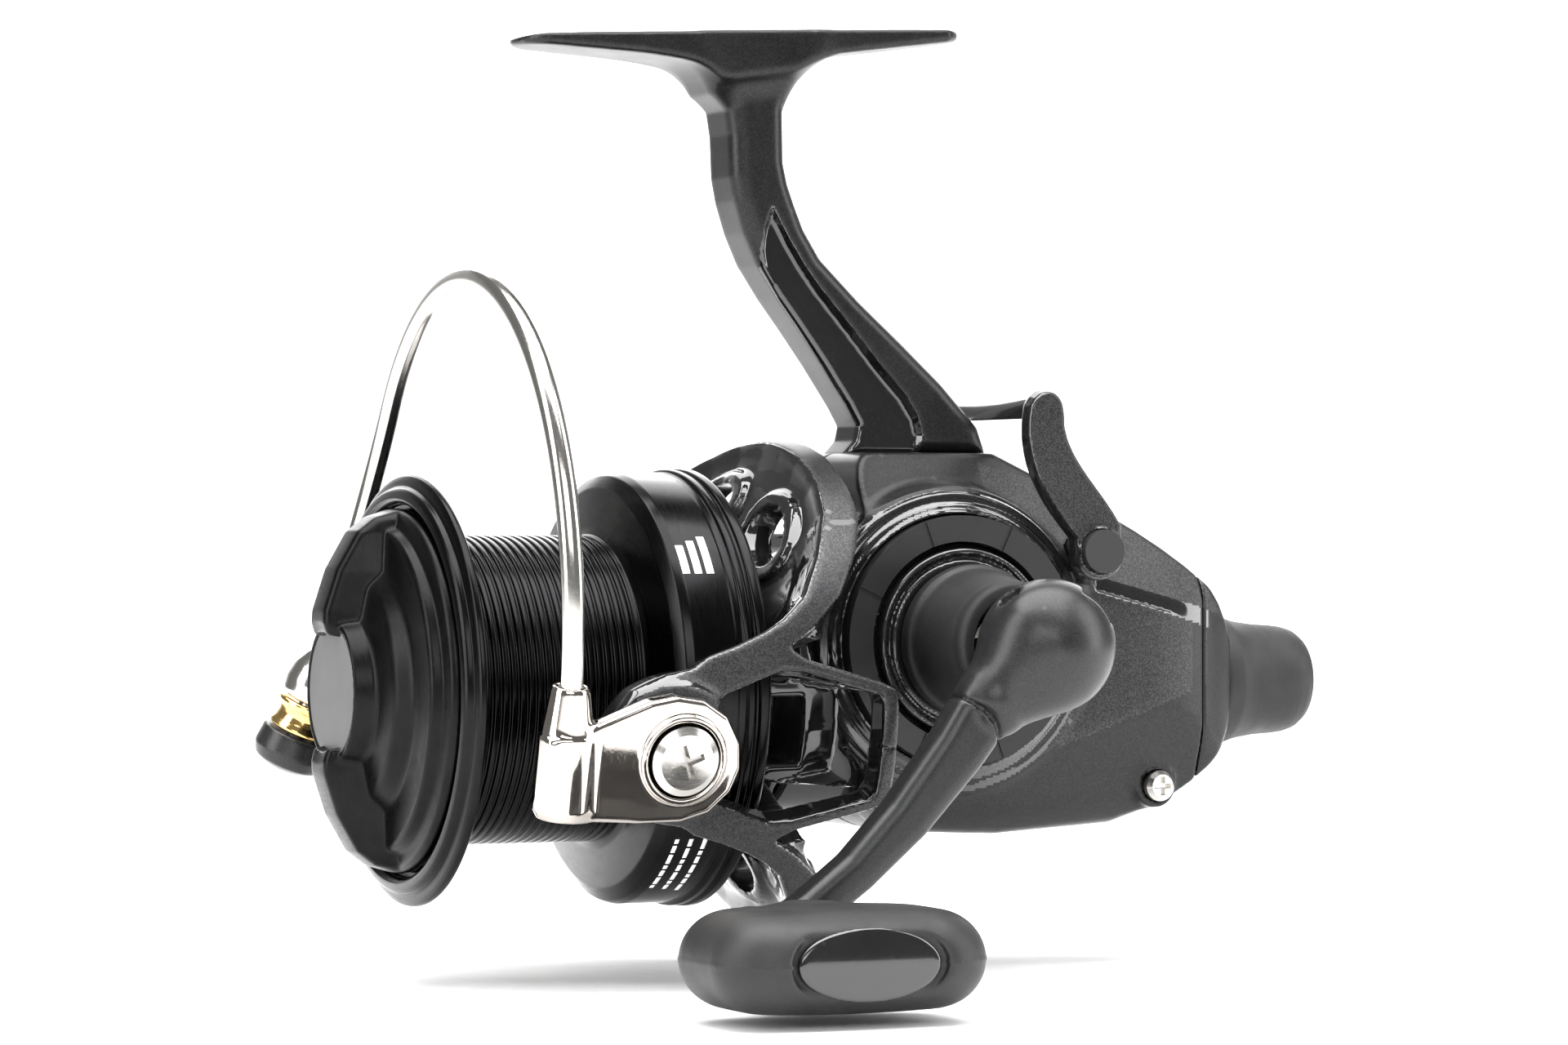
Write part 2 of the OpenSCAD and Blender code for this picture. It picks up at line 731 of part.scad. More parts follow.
// ---------- oscillation ----------

module oscillation_gear() {
  color("darkgray") translate([-8.9, osc_y, osc_z]) rotate([90, 0, 90]) {
    linear_extrude(2.4) rotate(osc_angle + 180 + 180 / osc_gear_teeth)
      spur_outline(osc_gear_teeth, osc_gear_r, 0.5, 0.8);
    translate([pin_offset, 0, 2.4]) cylinder(h = 1.5, r = 1.2);
    translate([0, 0, -1]) cylinder(h = 1, r = 3);
  }
}

// Slider that carries the main shaft; the crank pin works in its upright slot
module slider_block() {
  color("goldenrod") difference() {
    union() {
      translate([-4.6, slider_y - 3, -99.5]) cube([1.7, 6, 29.5]);
      translate([-4.6, slider_y - 3, axis_z - 4]) cube([7.6, 6, 8]);
      for (p = rod_places) translate([-3.5, slider_y - 3, p[1] - 2.2]) cube([5.4, 6, 4.4]);
    }
    spool_tube(shaft_r + 0.5, 0, -80, -40);
    translate([-6, slider_y - 1.5, osc_z - pin_offset - 1.6]) cube([2.4, 3, 2 * pin_offset + 3.2]);
    along_rods(0, 80, rod_r + fit);
  }
}

// Bush that the main shaft turns in, held by the slider
module slider_clamp() {
  color("silver") spool_tube(shaft_r + 0.5, shaft_r + fit, -slider_y - 3, 3 - slider_y);
}

module main_shaft() {
  color("silver") {
    spool_tube(shaft_r, 0, -77, 53.4);
    spool_tube(2.4, shaft_r, 3.3 - slider_y, 4.3 - slider_y);
    spool_tube(2.4, shaft_r, -4.3 - slider_y, -3.3 - slider_y);
  }
}

// ---------- spool and front drag ----------

// Metal sleeve on the shaft that the spool turns on
module spool_seat() {
  color("silver") about_spool() polygon([[shaft_r, 20.8], [6.5, 20.8], [6.5, 23.4], [4.95, 23.4],
    [4.95, 32.3], [shaft_r, 32.3]]);
}

// Spool: skirt, grooved arbor, hub and front drag chamber
module spool_body() {
  groove_pitch = 21.5 / groove_count;
  grooves = [for (i = [0:groove_count - 1]) let (f = 21.2 + i * groove_pitch)
    each [[arbor_r, f], [arbor_r - 0.4, f + 0.2], [arbor_r - 0.4, f + 0.45], [arbor_r, f + 0.65]]];
  color([0.07, 0.07, 0.075]) about_spool() polygon(concat(
    [[skirt_r - 1.6, 7.2], [skirt_r - 0.4, 7.2], [skirt_r, 7.6], [skirt_r, 9.4], [skirt_r - 0.5, 9.8],
      [skirt_r - 0.5, 18.3], [25.6, 19.6], [arbor_r, 20.6]],
    grooves,
    [[arbor_r, 43.4], [15.2, 43.4], [15.2, 32.6], [5, 32.6], [5, 24], [7, 24], [7, 30.2],
      [16.8, 30.2], [16.8, 17], [skirt_r - 1.8, 17]]));
}

module spool_lip() {
  color([0.08, 0.08, 0.085]) about_spool()
    polygon([[16.2, 43.4], [22, 43.4], [lip_r - 0.6, 43.9], [lip_r, 44.4], [lip_r, 45.1], [25.4, 45.7],
      [25.2, 46.3], [23.9, 46.7], [23.3, 46.7], [23.3, 44.9], [16.2, 44.9]]);
}

module click_ring() {
  color("gray") translate([0, -20.2, axis_z]) rotate([90, 0, 0]) linear_extrude(1.4)
    difference() {
      circle(16.8);
      polygon([for (i = [0:79]) (i % 2 == 0 ? 14.2 : 15) * [cos(i * 4.5), sin(i * 4.5)]]);
    }
}

washer_step = 1.35;

// Washers keyed to the shaft
module drag_keyed_washers() {
  color("silver") for (i = [0:2]) let (f = 33.95 + i * 2 * washer_step)
    spool_tube(14.4, shaft_r, f, f + 1);
}

// Lined washers keyed to the spool
module drag_lined_washers() {
  color("saddlebrown") for (i = [0:2]) let (f = 32.6 + i * 2 * washer_step)
    spool_tube(15.2, 2.6, f, f + 1);
}

module drag_retainer() {
  color("silver") spool_tube(15.2, 13.2, 41.4, 42.2);
}

module line_clip() {
  color("silver") translate([0, 0, axis_z]) rotate([0, 150, 0])
    translate([skirt_r - 0.5, -15.6, -2.2]) cube([0.9, 3.2, 4.4]);
}

// Outline of the two wings of the drag knob, as [height, distance forward]
module wing_outline() {
  polygon(concat([[8, 46], [22.6, 46]], curve([22.6, 47], [22.2, 50.5], [21, 52], [19.5, 52.6], 4),
    [[15.4, 54.9]], curve([12, 56.4], [9.5, 57.2], [8.4, 56.6], [8.4, 55], 4)));
}

module drag_knob() {
  color([0.08, 0.08, 0.085]) difference() {
    union() {
      about_spool() polygon([[6, 41], [9, 41], [9, 45.4], [22.7, 45.4], [22.7, 47.4], [20.6, 48],
        [20.2, 49], [14.6, 49.6], [13.8, 51], [9, 52.4], [8.4, 54], [2.4, 54], [2.4, 50.2], [6, 50.2]]);
      for (s = [0, 1]) side(-3.6, 3.6) translate([0, axis_z]) mirror([0, s]) rotate(90)
        wing_outline();
    }
    spool_tube(6, 0, 40, 50.2);
  }
}

module drag_knob_disc() {
  color("gray") spool_tube(8.2, 0, 54, 54.8);
}

module drag_nut() {
  color("silver") difference() {
    translate([0, -47.2, axis_z]) rotate([90, 0, 0]) cylinder(h = 3, r = 5.9, $fn = 4);
    spool_tube(2.3, 0, 40, 55);
  }
}

module drag_spring() {
  color("silver") translate([0, -42.4, axis_z]) rotate([90, 0, 0])
    sweep(helix(4.4, 4, 3, 12), 0.5, [0, 0, 1], 8);
}

// ---------- free-spool brake ----------

module freespool_ratchet() {
  color("gray") difference() {
    spool_tube(7, 0, -61.4, -57);
    spool_tube(shaft_r + fit, 0, -70, -50);
    for (i = [0:11]) translate([0, 0, axis_z]) rotate([0, i * 30, 0])
      translate([6, 57.8, -0.6]) cube([3, 5, 1.2]);
  }
}

// Side view of the lever, from its pivot up to the thumb piece
module lever_outline() {
  polygon(concat([for (a = [-150:30:-30]) [lever_y + 3.8 * cos(a), lever_z + 3.8 * sin(a)]],
    curve([46, -65], [43.4, -59], [36.6, -55], [37, -49], 6),
    curve([37, -49], [36.9, -45.9], [33.8, -45.1], [32.2, -48], 5),
    curve([32.2, -48], [30.8, -55], [34, -60], [38.6, -65], 6)));
}

module freespool_lever() {
  color([0.15, 0.15, 0.155]) difference() {
    union() {
      for (x = [-20.4, 17.4]) side(x, x + 3) lever_outline();
      side(-20.4, 20.4) hull() {
        translate([35, -47.8]) circle(1.3);
        translate([34.6, -50.3]) circle(1);
      }
    }
    x_tube(lever_y, lever_z, lever_axle_r, 0, -30, 30);
  }
}

module lever_axle() {
  color([0.12, 0.12, 0.125]) {
    x_tube(lever_y, lever_z, lever_axle_r, 0, -20.4, 20.4);
    x_tube(lever_y, lever_z, 2.8, 0, 20.4, 21.6);
    x_tube(lever_y, lever_z, 2.8, 0, -21.6, -20.4);
  }
}

// Cam inside the housing that trips the free-spool ratchet
module lever_cam() {
  color("gray") difference() {
    side(2.4, 5.4) hull() {
      translate([lever_y, lever_z]) circle(3);
      translate([lever_y + 8, lever_z + 0.5]) circle(1.2);
    }
    x_tube(lever_y, lever_z, lever_axle_r, 0, 0, 8);
  }
}

// Rear knob that sets the free-spool tension
module rear_knob() {
  color([0.09, 0.09, 0.09]) about_spool() polygon(concat([[6.8, -76.4], [6.8, -68.9], [8.5, -68.9]],
    curve([8.5, -68.9], [7.8, -72], [7.9, -76], [7.4, -79], 5),
    curve([7.4, -79], [7, -81.4], [5.6, -82.2], [3.5, -82.2], 4),
    [[0, -82.2], [0, -77.6], [6.8, -77.6]]));
}

// ---------- assembly ----------

body_frame();
side_cover();
rear_cover();
cover_screws();
panel_ring();
axle_bearing_right();
axle_bearing_left();
pinion_bearing();
pinion_bush();
clutch_housing();
guide_rods();
far_side_cap();
tension_sleeve();
tension_washer();
drive_axle();
drive_gear();
oscillation_pinion();
handle_collar();
fold_screw();
crank_arm();
knob_spindle();
knob_grip();
knob_inlay();
rotor_frame();
pinion();
clutch_sleeve();
rotor_nut();
arm_cover();
bail_spring();
bail_pivot_screws();
bail_holder();
roller_arm();
bail_wire();
roller_screw();
line_roller();
roller_bearing();
oscillation_gear();
slider_block();
slider_clamp();
main_shaft();
spool_seat();
drag_keyed_washers();
spool_body();
spool_lip();
click_ring();
drag_lined_washers();
drag_retainer();
line_clip();
drag_knob();
drag_knob_disc();
drag_nut();
drag_spring();
freespool_ratchet();
freespool_lever();
lever_axle();
lever_cam();
rear_knob();
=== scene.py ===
"""Looks of a spinning reel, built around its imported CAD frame.

Shapes are worked out in millimetres in the frame of the part (Z up, spool towards -Y, handle
towards +X) and turned into metres when a mesh is made. Moulded pieces are distance fields
that a volume mesher closes; turned pieces are profiles swept round their axis.
"""
import json
import math

import bmesh
import bpy
import numpy as np
import openvdb
from mathutils import Matrix, Vector


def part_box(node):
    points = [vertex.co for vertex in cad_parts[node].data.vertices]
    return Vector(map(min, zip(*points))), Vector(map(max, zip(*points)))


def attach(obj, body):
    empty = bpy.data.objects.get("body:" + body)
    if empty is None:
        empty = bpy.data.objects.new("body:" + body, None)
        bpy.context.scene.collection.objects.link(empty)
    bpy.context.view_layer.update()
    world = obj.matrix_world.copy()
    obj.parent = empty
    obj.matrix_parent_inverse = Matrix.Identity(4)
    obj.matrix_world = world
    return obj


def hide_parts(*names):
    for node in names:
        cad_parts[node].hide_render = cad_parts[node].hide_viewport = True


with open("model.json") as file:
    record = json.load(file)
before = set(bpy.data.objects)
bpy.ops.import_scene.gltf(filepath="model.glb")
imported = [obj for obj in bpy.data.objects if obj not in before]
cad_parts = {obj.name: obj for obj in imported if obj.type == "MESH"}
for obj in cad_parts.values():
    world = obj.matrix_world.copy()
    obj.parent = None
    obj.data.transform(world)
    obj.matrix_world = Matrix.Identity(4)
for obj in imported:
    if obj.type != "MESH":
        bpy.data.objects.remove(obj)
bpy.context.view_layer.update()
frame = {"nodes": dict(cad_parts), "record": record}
NODES = frame["nodes"]
MM = 0.001

# -------- the frame's own places


def joint(name):
    """A joint's record: its pivot in millimetres and its axis."""
    row = next(j for j in frame["record"]["behaviour"]["joints"] if j["name"] == name)
    return [c / MM for c in row["pos_m"]], row["axis"]


AXIS_Z = joint("spool_slip")[0][2]
GEAR_Y, GEAR_Z = joint("handle_spin")[0][1:]
KNOB_Y, KNOB_Z = joint("knob_spin")[0][1:]
CRANK_X = joint("handle_fold")[0][0]
LEVER_Y, LEVER_Z = joint("lever_throw")[0][1:]
BAIL_AXIS = joint("bail_flip")[1]
PIVOT_Y = joint("bail_flip")[0][1]
ROLLER, ROLLER_AXIS = joint("roller_spin")
PHASE = math.atan2(-BAIL_AXIS[2], BAIL_AXIS[0])
CRANK_ANGLE = math.atan2(KNOB_Z - GEAR_Z, KNOB_Y - GEAR_Y)
FOOT_TILT = math.radians(2.5)


def to_rotor(x, y, z):
    """Coordinates in the rotor's own frame: arms along u, spool axis at w = 0."""
    c, s = math.cos(PHASE), math.sin(PHASE)
    return x * c - (z - AXIS_Z) * s, y, x * s + (z - AXIS_Z) * c


def from_rotor(u, y, w):
    c, s = math.cos(PHASE), math.sin(PHASE)
    return u * c + w * s, y, AXIS_Z - u * s + w * c


# -------- distance fields


class Grid:
    """Sparse coordinate arrays of a box in millimetres, for building a distance field."""

    def __init__(self, low, high, step):
        self.low, self.step = low, step
        axes = [np.arange(a, b + step, step, dtype=np.float32) for a, b in zip(low, high)]
        self.x, self.y, self.z = np.meshgrid(*axes, indexing="ij", sparse=True)


def length(*parts):
    return np.sqrt(sum(p * p for p in parts))


def around(g, y, z=0.0):
    """Distance from a sideways axle at (y, z)."""
    return length(g.y - y, g.z - z)


def polygon(a, b, points):
    """Signed distance from (a, b) to a closed outline, negative inside."""
    a, b = np.broadcast_arrays(a, b)
    best = np.full(a.shape, 1e9, np.float32)
    inside = np.zeros(a.shape, bool)
    for (x0, y0), (x1, y1) in zip(points, points[1:] + points[:1]):
        ex, ey = x1 - x0, y1 - y0
        t = np.clip(((a - x0) * ex + (b - y0) * ey) / max(ex * ex + ey * ey, 1e-9), 0, 1)
        best = np.minimum(best, (a - x0 - ex * t) ** 2 + (b - y0 - ey * t) ** 2)
        if y0 != y1:
            crossing = ((y0 > b) != (y1 > b)) & (a < (x1 - x0) * (b - y0) / (y1 - y0) + x0)
            inside ^= crossing
    return np.where(inside, -1, 1).astype(np.float32) * np.sqrt(best)


def plate(outline, across, half, soft):
    """An outline's field made thick to +-half across, with edges rounded by soft."""
    a = outline + soft
    b = np.abs(across) - half + soft
    return np.minimum(np.maximum(a, b), 0) + length(np.maximum(a, 0), np.maximum(b, 0)) - soft


def capsule(g, p, q, r0, r1=None):
    """A round bar from p to q whose radius changes from r0 to r1."""
    r1 = r0 if r1 is None else r1
    d = [b - a for a, b in zip(p, q)]
    dx, dy, dz = g.x - p[0], g.y - p[1], g.z - p[2]
    t = np.clip((dx * d[0] + dy * d[1] + dz * d[2]) / max(sum(c * c for c in d), 1e-9), 0, 1)
    return length(dx - d[0] * t, dy - d[1] * t, dz - d[2] * t) - (r0 + (r1 - r0) * t)


def join(a, b, soft=0.0):
    """Union of two fields, with a fillet of about soft."""
    if soft <= 0:
        return np.minimum(a, b)
    h = np.maximum(soft - np.abs(a - b), 0) / soft
    return np.minimum(a, b) - h * h * soft * 0.25


def cut(a, b, soft=0.0):
    """Field a without b."""
    return -join(-a, b, soft)


def both(a, b, soft=0.0):
    """Intersection of two fields."""
    return -join(-a, -b, soft)


def arc(p0, p1, p2, p3, n=8):
    """Points of a cubic curve, without its first point."""
    out = []
    for i in range(1, n + 1):
        t = i / n
        s = 1 - t
        k = (s * s * s, 3 * s * s * t, 3 * s * t * t, t * t * t)
        out.append(tuple(sum(w * p[j] for w, p in zip(k, (p0, p1, p2, p3))) for j in range(len(p0))))
    return out


# -------- meshes


def piece(name, mesh, material, body, replaced=(), smooth=40):
    """A finished object: shaded, coloured and riding on its body."""
    obj = bpy.data.objects.new(name, mesh)
    bpy.context.collection.objects.link(obj)
    for m in material if isinstance(material, (list, tuple)) else [material]:
        mesh.materials.append(m)
    mesh.shade_smooth()
    if smooth < 180:
        mesh.set_sharp_from_angle(angle=math.radians(smooth))
    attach(obj, body)
    if replaced:
        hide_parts(*replaced)
    return obj


def solid(name, g, field, relax=6):
    """Closed mesh at the zero level of a field, relaxed a little."""
    grid = openvdb.FloatGrid()
    grid.copyFromArray(np.ascontiguousarray(field, dtype=np.float32))
    points, triangles, quads = grid.convertToPolygons(isovalue=0.0, adaptivity=0.0)
    points = (points * g.step + np.array(g.low)) * MM
    faces = [tuple(int(i) for i in f[::-1]) for group in (quads, triangles) for f in group]
    mesh = bpy.data.meshes.new(name)
    mesh.from_pydata([tuple(map(float, p)) for p in points], [], faces)
    mesh.update()
    keep_largest(mesh)
    if relax:
        mesh = modified(mesh, "SMOOTH", factor=0.5, iterations=relax)
    return mesh


def keep_largest(mesh):
    """Drops stray islands smaller than a twentieth of the biggest one."""
    bm = bmesh.new()
    bm.from_mesh(mesh)
    bm.verts.ensure_lookup_table()
    seen, islands = set(), []
    for v in bm.verts:
        if v.index in seen:
            continue
        stack, island = [v], []
        seen.add(v.index)
        while stack:
            cur = stack.pop()
            island.append(cur)
            for e in cur.link_edges:
                o = e.other_vert(cur)
                if o.index not in seen:
                    seen.add(o.index)
                    stack.append(o)
        islands.append(island)
    most = max(len(i) for i in islands)
    stray = [v for i in islands if len(i) < most / 20 for v in i]
    bmesh.ops.delete(bm, geom=stray, context="VERTS")
    bmesh.ops.recalc_face_normals(bm, faces=bm.faces)
    bm.to_mesh(mesh)
    bm.free()


def modified(mesh, kind, **settings):
    """The mesh with one modifier applied."""
    obj = bpy.data.objects.new("work", mesh)
    bpy.context.collection.objects.link(obj)
    mod = obj.modifiers.new("m", kind)
    for key, value in settings.items():
        setattr(mod, key, value)
    done = bpy.data.meshes.new_from_object(obj.evaluated_get(bpy.context.evaluated_depsgraph_get()))
    bpy.data.objects.remove(obj)
    return done


def frame_of(axis):
    """Two unit vectors square to an axis."""
    a = Vector(axis).normalized()
    ref = Vector((0, 0, 1)) if abs(a.z) < 0.9 else Vector((1, 0, 0))
    u = a.cross(ref).normalized()
    return a, u, a.cross(u)


BEVEL_STEPS = 3


def bevelled(profile, size):
    """A closed profile with each of its corners rounded."""
    out = []
    n = len(profile)
    for i, p in enumerate(profile):
        a, b, c = Vector(profile[i - 1]), Vector(p), Vector(profile[(i + 1) % n])
        ab, cb = a - b, c - b
        if p[0] <= 1e-6 or ab.length < 1e-6 or cb.length < 1e-6:
            out.append(tuple(b))
            continue
        r = min(size, ab.length * 0.45, cb.length * 0.45)
        p0, p1 = b + ab.normalized() * r, b + cb.normalized() * r
        for k in range(BEVEL_STEPS + 1):
            t = k / BEVEL_STEPS
            q = p0 * (1 - t) ** 2 + b * 2 * t * (1 - t) + p1 * t * t
            out.append(tuple(q))
    return out


def turned(name, profile, origin, axis, sides, size):
    """A closed profile of (radius, distance) turned round an axis, its corners rounded by size."""
    a, u, v = frame_of(axis)
    verts, faces, rows = [], [], []
    o = Vector(origin)
    for r, h in bevelled(profile, size):
        if r <= 1e-6:
            rows.append([len(verts)] * sides)
            verts.append((o + a * h) * MM)
            continue
        row = []
        for k in range(sides):
            t = 2 * math.pi * k / sides
            row.append(len(verts))
            verts.append((o + a * h + u * (r * math.cos(t)) + v * (r * math.sin(t))) * MM)
        rows.append(row)
    for i in range(len(rows)):
        p, q = rows[i], rows[(i + 1) % len(rows)]
        if p[0] == p[1] and q[0] == q[1]:
            continue
        for k in range(sides):
            m = (k + 1) % sides
            quad = [p[k], p[m], q[m], q[k]]
            face = [w for j, w in enumerate(quad) if w not in quad[:j]]
            if len(face) > 2:
                faces.append(face)
    return closed_mesh(name, verts, faces)


def closed_mesh(name, verts, faces):
    """A mesh with its normals facing out."""
    mesh = bpy.data.meshes.new(name)
    mesh.from_pydata([tuple(v) for v in verts], [], faces)
    bm = bmesh.new()
    bm.from_mesh(mesh)
    bmesh.ops.remove_doubles(bm, verts=bm.verts, dist=1e-7)
    bmesh.ops.recalc_face_normals(bm, faces=bm.faces)
    bm.to_mesh(mesh)
    bm.free()
    return mesh


def tube(name, path, r, sides, ref):
    """A round bar of radius r swept along a path in millimetres."""
    pts = [Vector(p) for p in path]
    last = len(pts) - 1
    verts, faces = [], []
    for i, p in enumerate(pts):
        t = (pts[min(i + 1, last)] - pts[max(i - 1, 0)]).normalized()
        n = t.cross(Vector(ref)).normalized()
        b = t.cross(n)
        for k in range(sides):
            c, s = math.cos(2 * math.pi * k / sides), math.sin(2 * math.pi * k / sides)
            verts.append((p + n * (r * c) + b * (r * s)) * MM)
    for i in range(last):
        for k in range(sides):
            m = (k + 1) % sides
            faces.append([i * sides + k, i * sides + m, (i + 1) * sides + m, (i + 1) * sides + k])
    faces.append(list(range(sides)))
    faces.append([last * sides + k for k in range(sides)])
    return closed_mesh(name, verts, faces)


# -------- materials


def shader(name, colour, rough, metallic=0.0, coat=0.0, coat_rough=0.05, specular=0.5):
    """A material, with its node tree and its shader."""
    m = bpy.data.materials.new(name)
    m.use_nodes = True
    p = m.node_tree.nodes["Principled BSDF"]
    p.inputs["Base Color"].default_value = (*colour, 1)
    p.inputs["Roughness"].default_value = rough
    p.inputs["Metallic"].default_value = metallic
    p.inputs["Coat Weight"].default_value = coat
    p.inputs["Coat Roughness"].default_value = coat_rough
    p.inputs["Specular IOR Level"].default_value = specular
    return m, m.node_tree, p


def place(tree, scale=(1, 1, 1)):
    """Object coordinates in millimetres, stretched by scale."""
    co = tree.nodes.new("ShaderNodeTexCoord")
    mp = tree.nodes.new("ShaderNodeMapping")
    mp.inputs["Scale"].default_value = [1000 * s for s in scale]
    tree.links.new(co.outputs["Object"], mp.inputs["Vector"])
    return mp.outputs["Vector"]


def noise(tree, at, scale, detail=3.0, rough=0.55):
    n = tree.nodes.new("ShaderNodeTexNoise")
    n.inputs["Scale"].default_value = scale
    n.inputs["Detail"].default_value = detail
    n.inputs["Roughness"].default_value = rough
    tree.links.new(at, n.inputs["Vector"])
    return n.outputs["Fac"]


def flakes(tree, at, scale):
    """Cells that each have a random grey."""
    v = tree.nodes.new("ShaderNodeTexVoronoi")
    v.inputs["Scale"].default_value = scale
    tree.links.new(at, v.inputs["Vector"])
    sep = tree.nodes.new("ShaderNodeSeparateColor")
    tree.links.new(v.outputs["Color"], sep.inputs["Color"])
    return sep.outputs["Red"]


def ramp(tree, value, low, high, at=(0.3, 0.7)):
    """Colour that goes from low to high as value goes over the range at."""
    r = tree.nodes.new("ShaderNodeValToRGB")
    for e, c, position in zip(r.color_ramp.elements, (low, high), at):
        e.color = (*c, 1) if isinstance(c, (tuple, list)) else (c, c, c, 1)
        e.position = position
    tree.links.new(value, r.inputs["Fac"])
    return r.outputs["Color"]


def bump(tree, shader_node, heights, distance):
    """Bumps of a given height in millimetres, one on top of the other."""
    last = None
    for h, d in zip(heights, distance):
        b = tree.nodes.new("ShaderNodeBump")
        b.inputs["Distance"].default_value = d * MM
        b.inputs["Strength"].default_value = 1.0
        tree.links.new(h, b.inputs["Height"])
        if last is not None:
            tree.links.new(last, b.inputs["Normal"])
        last = b.outputs["Normal"]
    tree.links.new(last, shader_node.inputs["Normal"])


def painted_edge_highlight(tree, colour, edge_colour, start=0.53, end=0.6):
    """Mixes in a lighter colour where the surface has a sharp outer edge, a painted highlight along those
    edges.
    """
    geo = tree.nodes.new("ShaderNodeNewGeometry")
    mask = ramp(tree, geo.outputs["Pointiness"], 0.0, 1.0, (start, end))
    mix = tree.nodes.new("ShaderNodeMix")
    mix.data_type = "RGBA"
    tree.links.new(mask, mix.inputs["Factor"])
    tree.links.new(colour, mix.inputs["A"])
    mix.inputs["B"].default_value = (*edge_colour, 1)
    return mix.outputs["Result"]


def flake_paint(name, dark, light, rough, grain=0.004, metallic=0.55):
    """Matte paint with fine metal flakes under it and a slight orange peel."""
    m, t, p = shader(name, (dark, dark, dark), rough, metallic)
    at = place(t)
    cells = flakes(t, at, 7.0)
    base = ramp(t, cells, (dark, dark, dark * 1.03), (light, light, light * 1.04), (0.25, 1.0))
    # sharp outer edges get a lighter colour: a painted highlight along the edges
    t.links.new(painted_edge_highlight(t, base, (light * 1.6,) * 3), p.inputs["Base Color"])
    cloud = noise(t, at, 0.09, 4)
    t.links.new(ramp(t, cloud, rough - 0.05, rough + 0.07), p.inputs["Roughness"])
    bump(t, p, [noise(t, at, 2.2, 2), cells], [grain, grain * 0.8])
    return m


def gloss_paint(name, base=0.006, rough=0.09):
    """Deep black lacquer with a soft waviness and patches of faint dust."""
    m, t, p = shader(name, (base,) * 3, rough, 0.0, 0.6, 0.04, 0.6)
    at = place(t)
    dust = noise(t, at, 1.7, 6, 0.7)
    t.links.new(ramp(t, dust, rough, rough + 0.14, (0.52, 0.78)), p.inputs["Roughness"])
    colour = ramp(t, noise(t, at, 0.11, 3), base * 0.8, base * 1.5)
    # sharp outer edges get a lighter colour: a painted highlight along the edges
    t.links.new(painted_edge_highlight(t, colour, (base * 4,) * 3, 0.55, 0.66), p.inputs["Base Color"])
    bump(t, p, [noise(t, at, 0.22, 1)], [0.012])
    return m


def rubber(name, base=0.012, rough=0.55, grain=0.02):
    """Soft-touch rubber: a fine moulded grain and handled, shinier spots."""
    m, t, p = shader(name, (base,) * 3, rough, 0.0, 0.0, 0.1, 0.4)
    at = place(t)
    colour = ramp(t, noise(t, at, 0.16, 4), base * 0.75, base * 1.4)
    t.links.new(colour, p.inputs["Base Color"])
    t.links.new(ramp(t, noise(t, at, 0.13, 5), rough - 0.08, rough + 0.1), p.inputs["Roughness"])
    bump(t, p, [flakes(t, at, 3.6), noise(t, at, 6.0, 2)], [grain, grain * 0.5])
    return m


def turned_metal(name, colour, rough, along=1, line=0.0025):
    """Metal with fine machining lines square to an axis (0 X, 1 Y, 2 Z)."""
    m, t, p = shader(name, colour, rough, 1.0)
    stretch = [0.05, 0.05, 0.05]
    stretch[along] = 1.0
    lines = noise(t, place(t, stretch), 9.0, 3, 0.7)
    at = place(t)
    low = [c * 0.86 for c in colour]
    high = [min(1, c * 1.1) for c in colour]
    t.links.new(ramp(t, noise(t, at, 0.3, 4), low, high), p.inputs["Base Color"])
    t.links.new(ramp(t, lines, rough - 0.04, rough + 0.08), p.inputs["Roughness"])
    bump(t, p, [lines], [line])
    return m


def plating(name, colour, rough=0.06):
    """Bright plating: a faint waviness, dull specks and a cloudy tint."""
    m, t, p = shader(name, colour, rough, 1.0)
    at = place(t)
    low = [c * 0.93 for c in colour]
    t.links.new(ramp(t, noise(t, at, 0.25, 3), low, colour, (0.3, 0.6)), p.inputs["Base Color"])
    t.links.new(ramp(t, noise(t, at, 2.4, 7, 0.75), rough, rough + 0.12, (0.5, 0.8)), p.inputs["Roughness"])
    bump(t, p, [noise(t, at, 0.3, 1), noise(t, at, 5, 3)], [0.006, 0.0008])
    return m


def felt(name, base):
    """Pressed fibres that lie one way."""
    m, t, p = shader(name, base, 0.9)
    at = place(t)
    fibres = noise(t, place(t, (1, 0.2, 1)), 5, 5, 0.8)
    dark, light = [c * 0.5 for c in base], [c * 1.6 for c in base]
    t.links.new(ramp(t, fibres, dark, light), p.inputs["Base Color"])
    bump(t, p, [fibres, noise(t, at, 8, 2)], [0.06, 0.03])
    return m


PANEL = flake_paint("panel_paint", 0.014, 0.05, 0.4)
BODY = flake_paint("body_paint", 0.008, 0.02, 0.32)
EDGE = gloss_paint("edge_gloss", 0.007, 0.13)
GLOSS = gloss_paint("rotor_gloss", 0.005, 0.08)
BAND = flake_paint("rotor_band_paint", 0.02, 0.06, 0.4)
WEB = gloss_paint("web_satin", 0.008, 0.3)
CRANK = flake_paint("crank_paint", 0.012, 0.022, 0.3, metallic=0.3)
ANODISED = turned_metal("black_anodised", (0.014, 0.014, 0.0145), 0.2)
DIAL = turned_metal("dial_satin", (0.013, 0.013, 0.0135), 0.3, line=0.0015)
KNOB = rubber("knob_rubber", 0.012, 0.5, 0.014)
SOFT = rubber("soft_rubber", 0.01, 0.56, 0.01)
DISC = flake_paint("grey_disc_paint", 0.035, 0.06, 0.5, 0.002, 0.2)
INLAY = gloss_paint("inlay_gloss", 0.006, 0.12)
NICKEL = plating("warm_nickel", (0.52, 0.48, 0.44), 0.05)
WIRE = plating("wire_nickel", (0.6, 0.58, 0.55), 0.14)
STEEL = turned_metal("screw_steel", (0.62, 0.6, 0.57), 0.2, along=0)
SHAFT = turned_metal("shaft_steel", (0.6, 0.59, 0.57), 0.22)
GEAR = turned_metal("gear_metal", (0.45, 0.44, 0.42), 0.35, along=0)
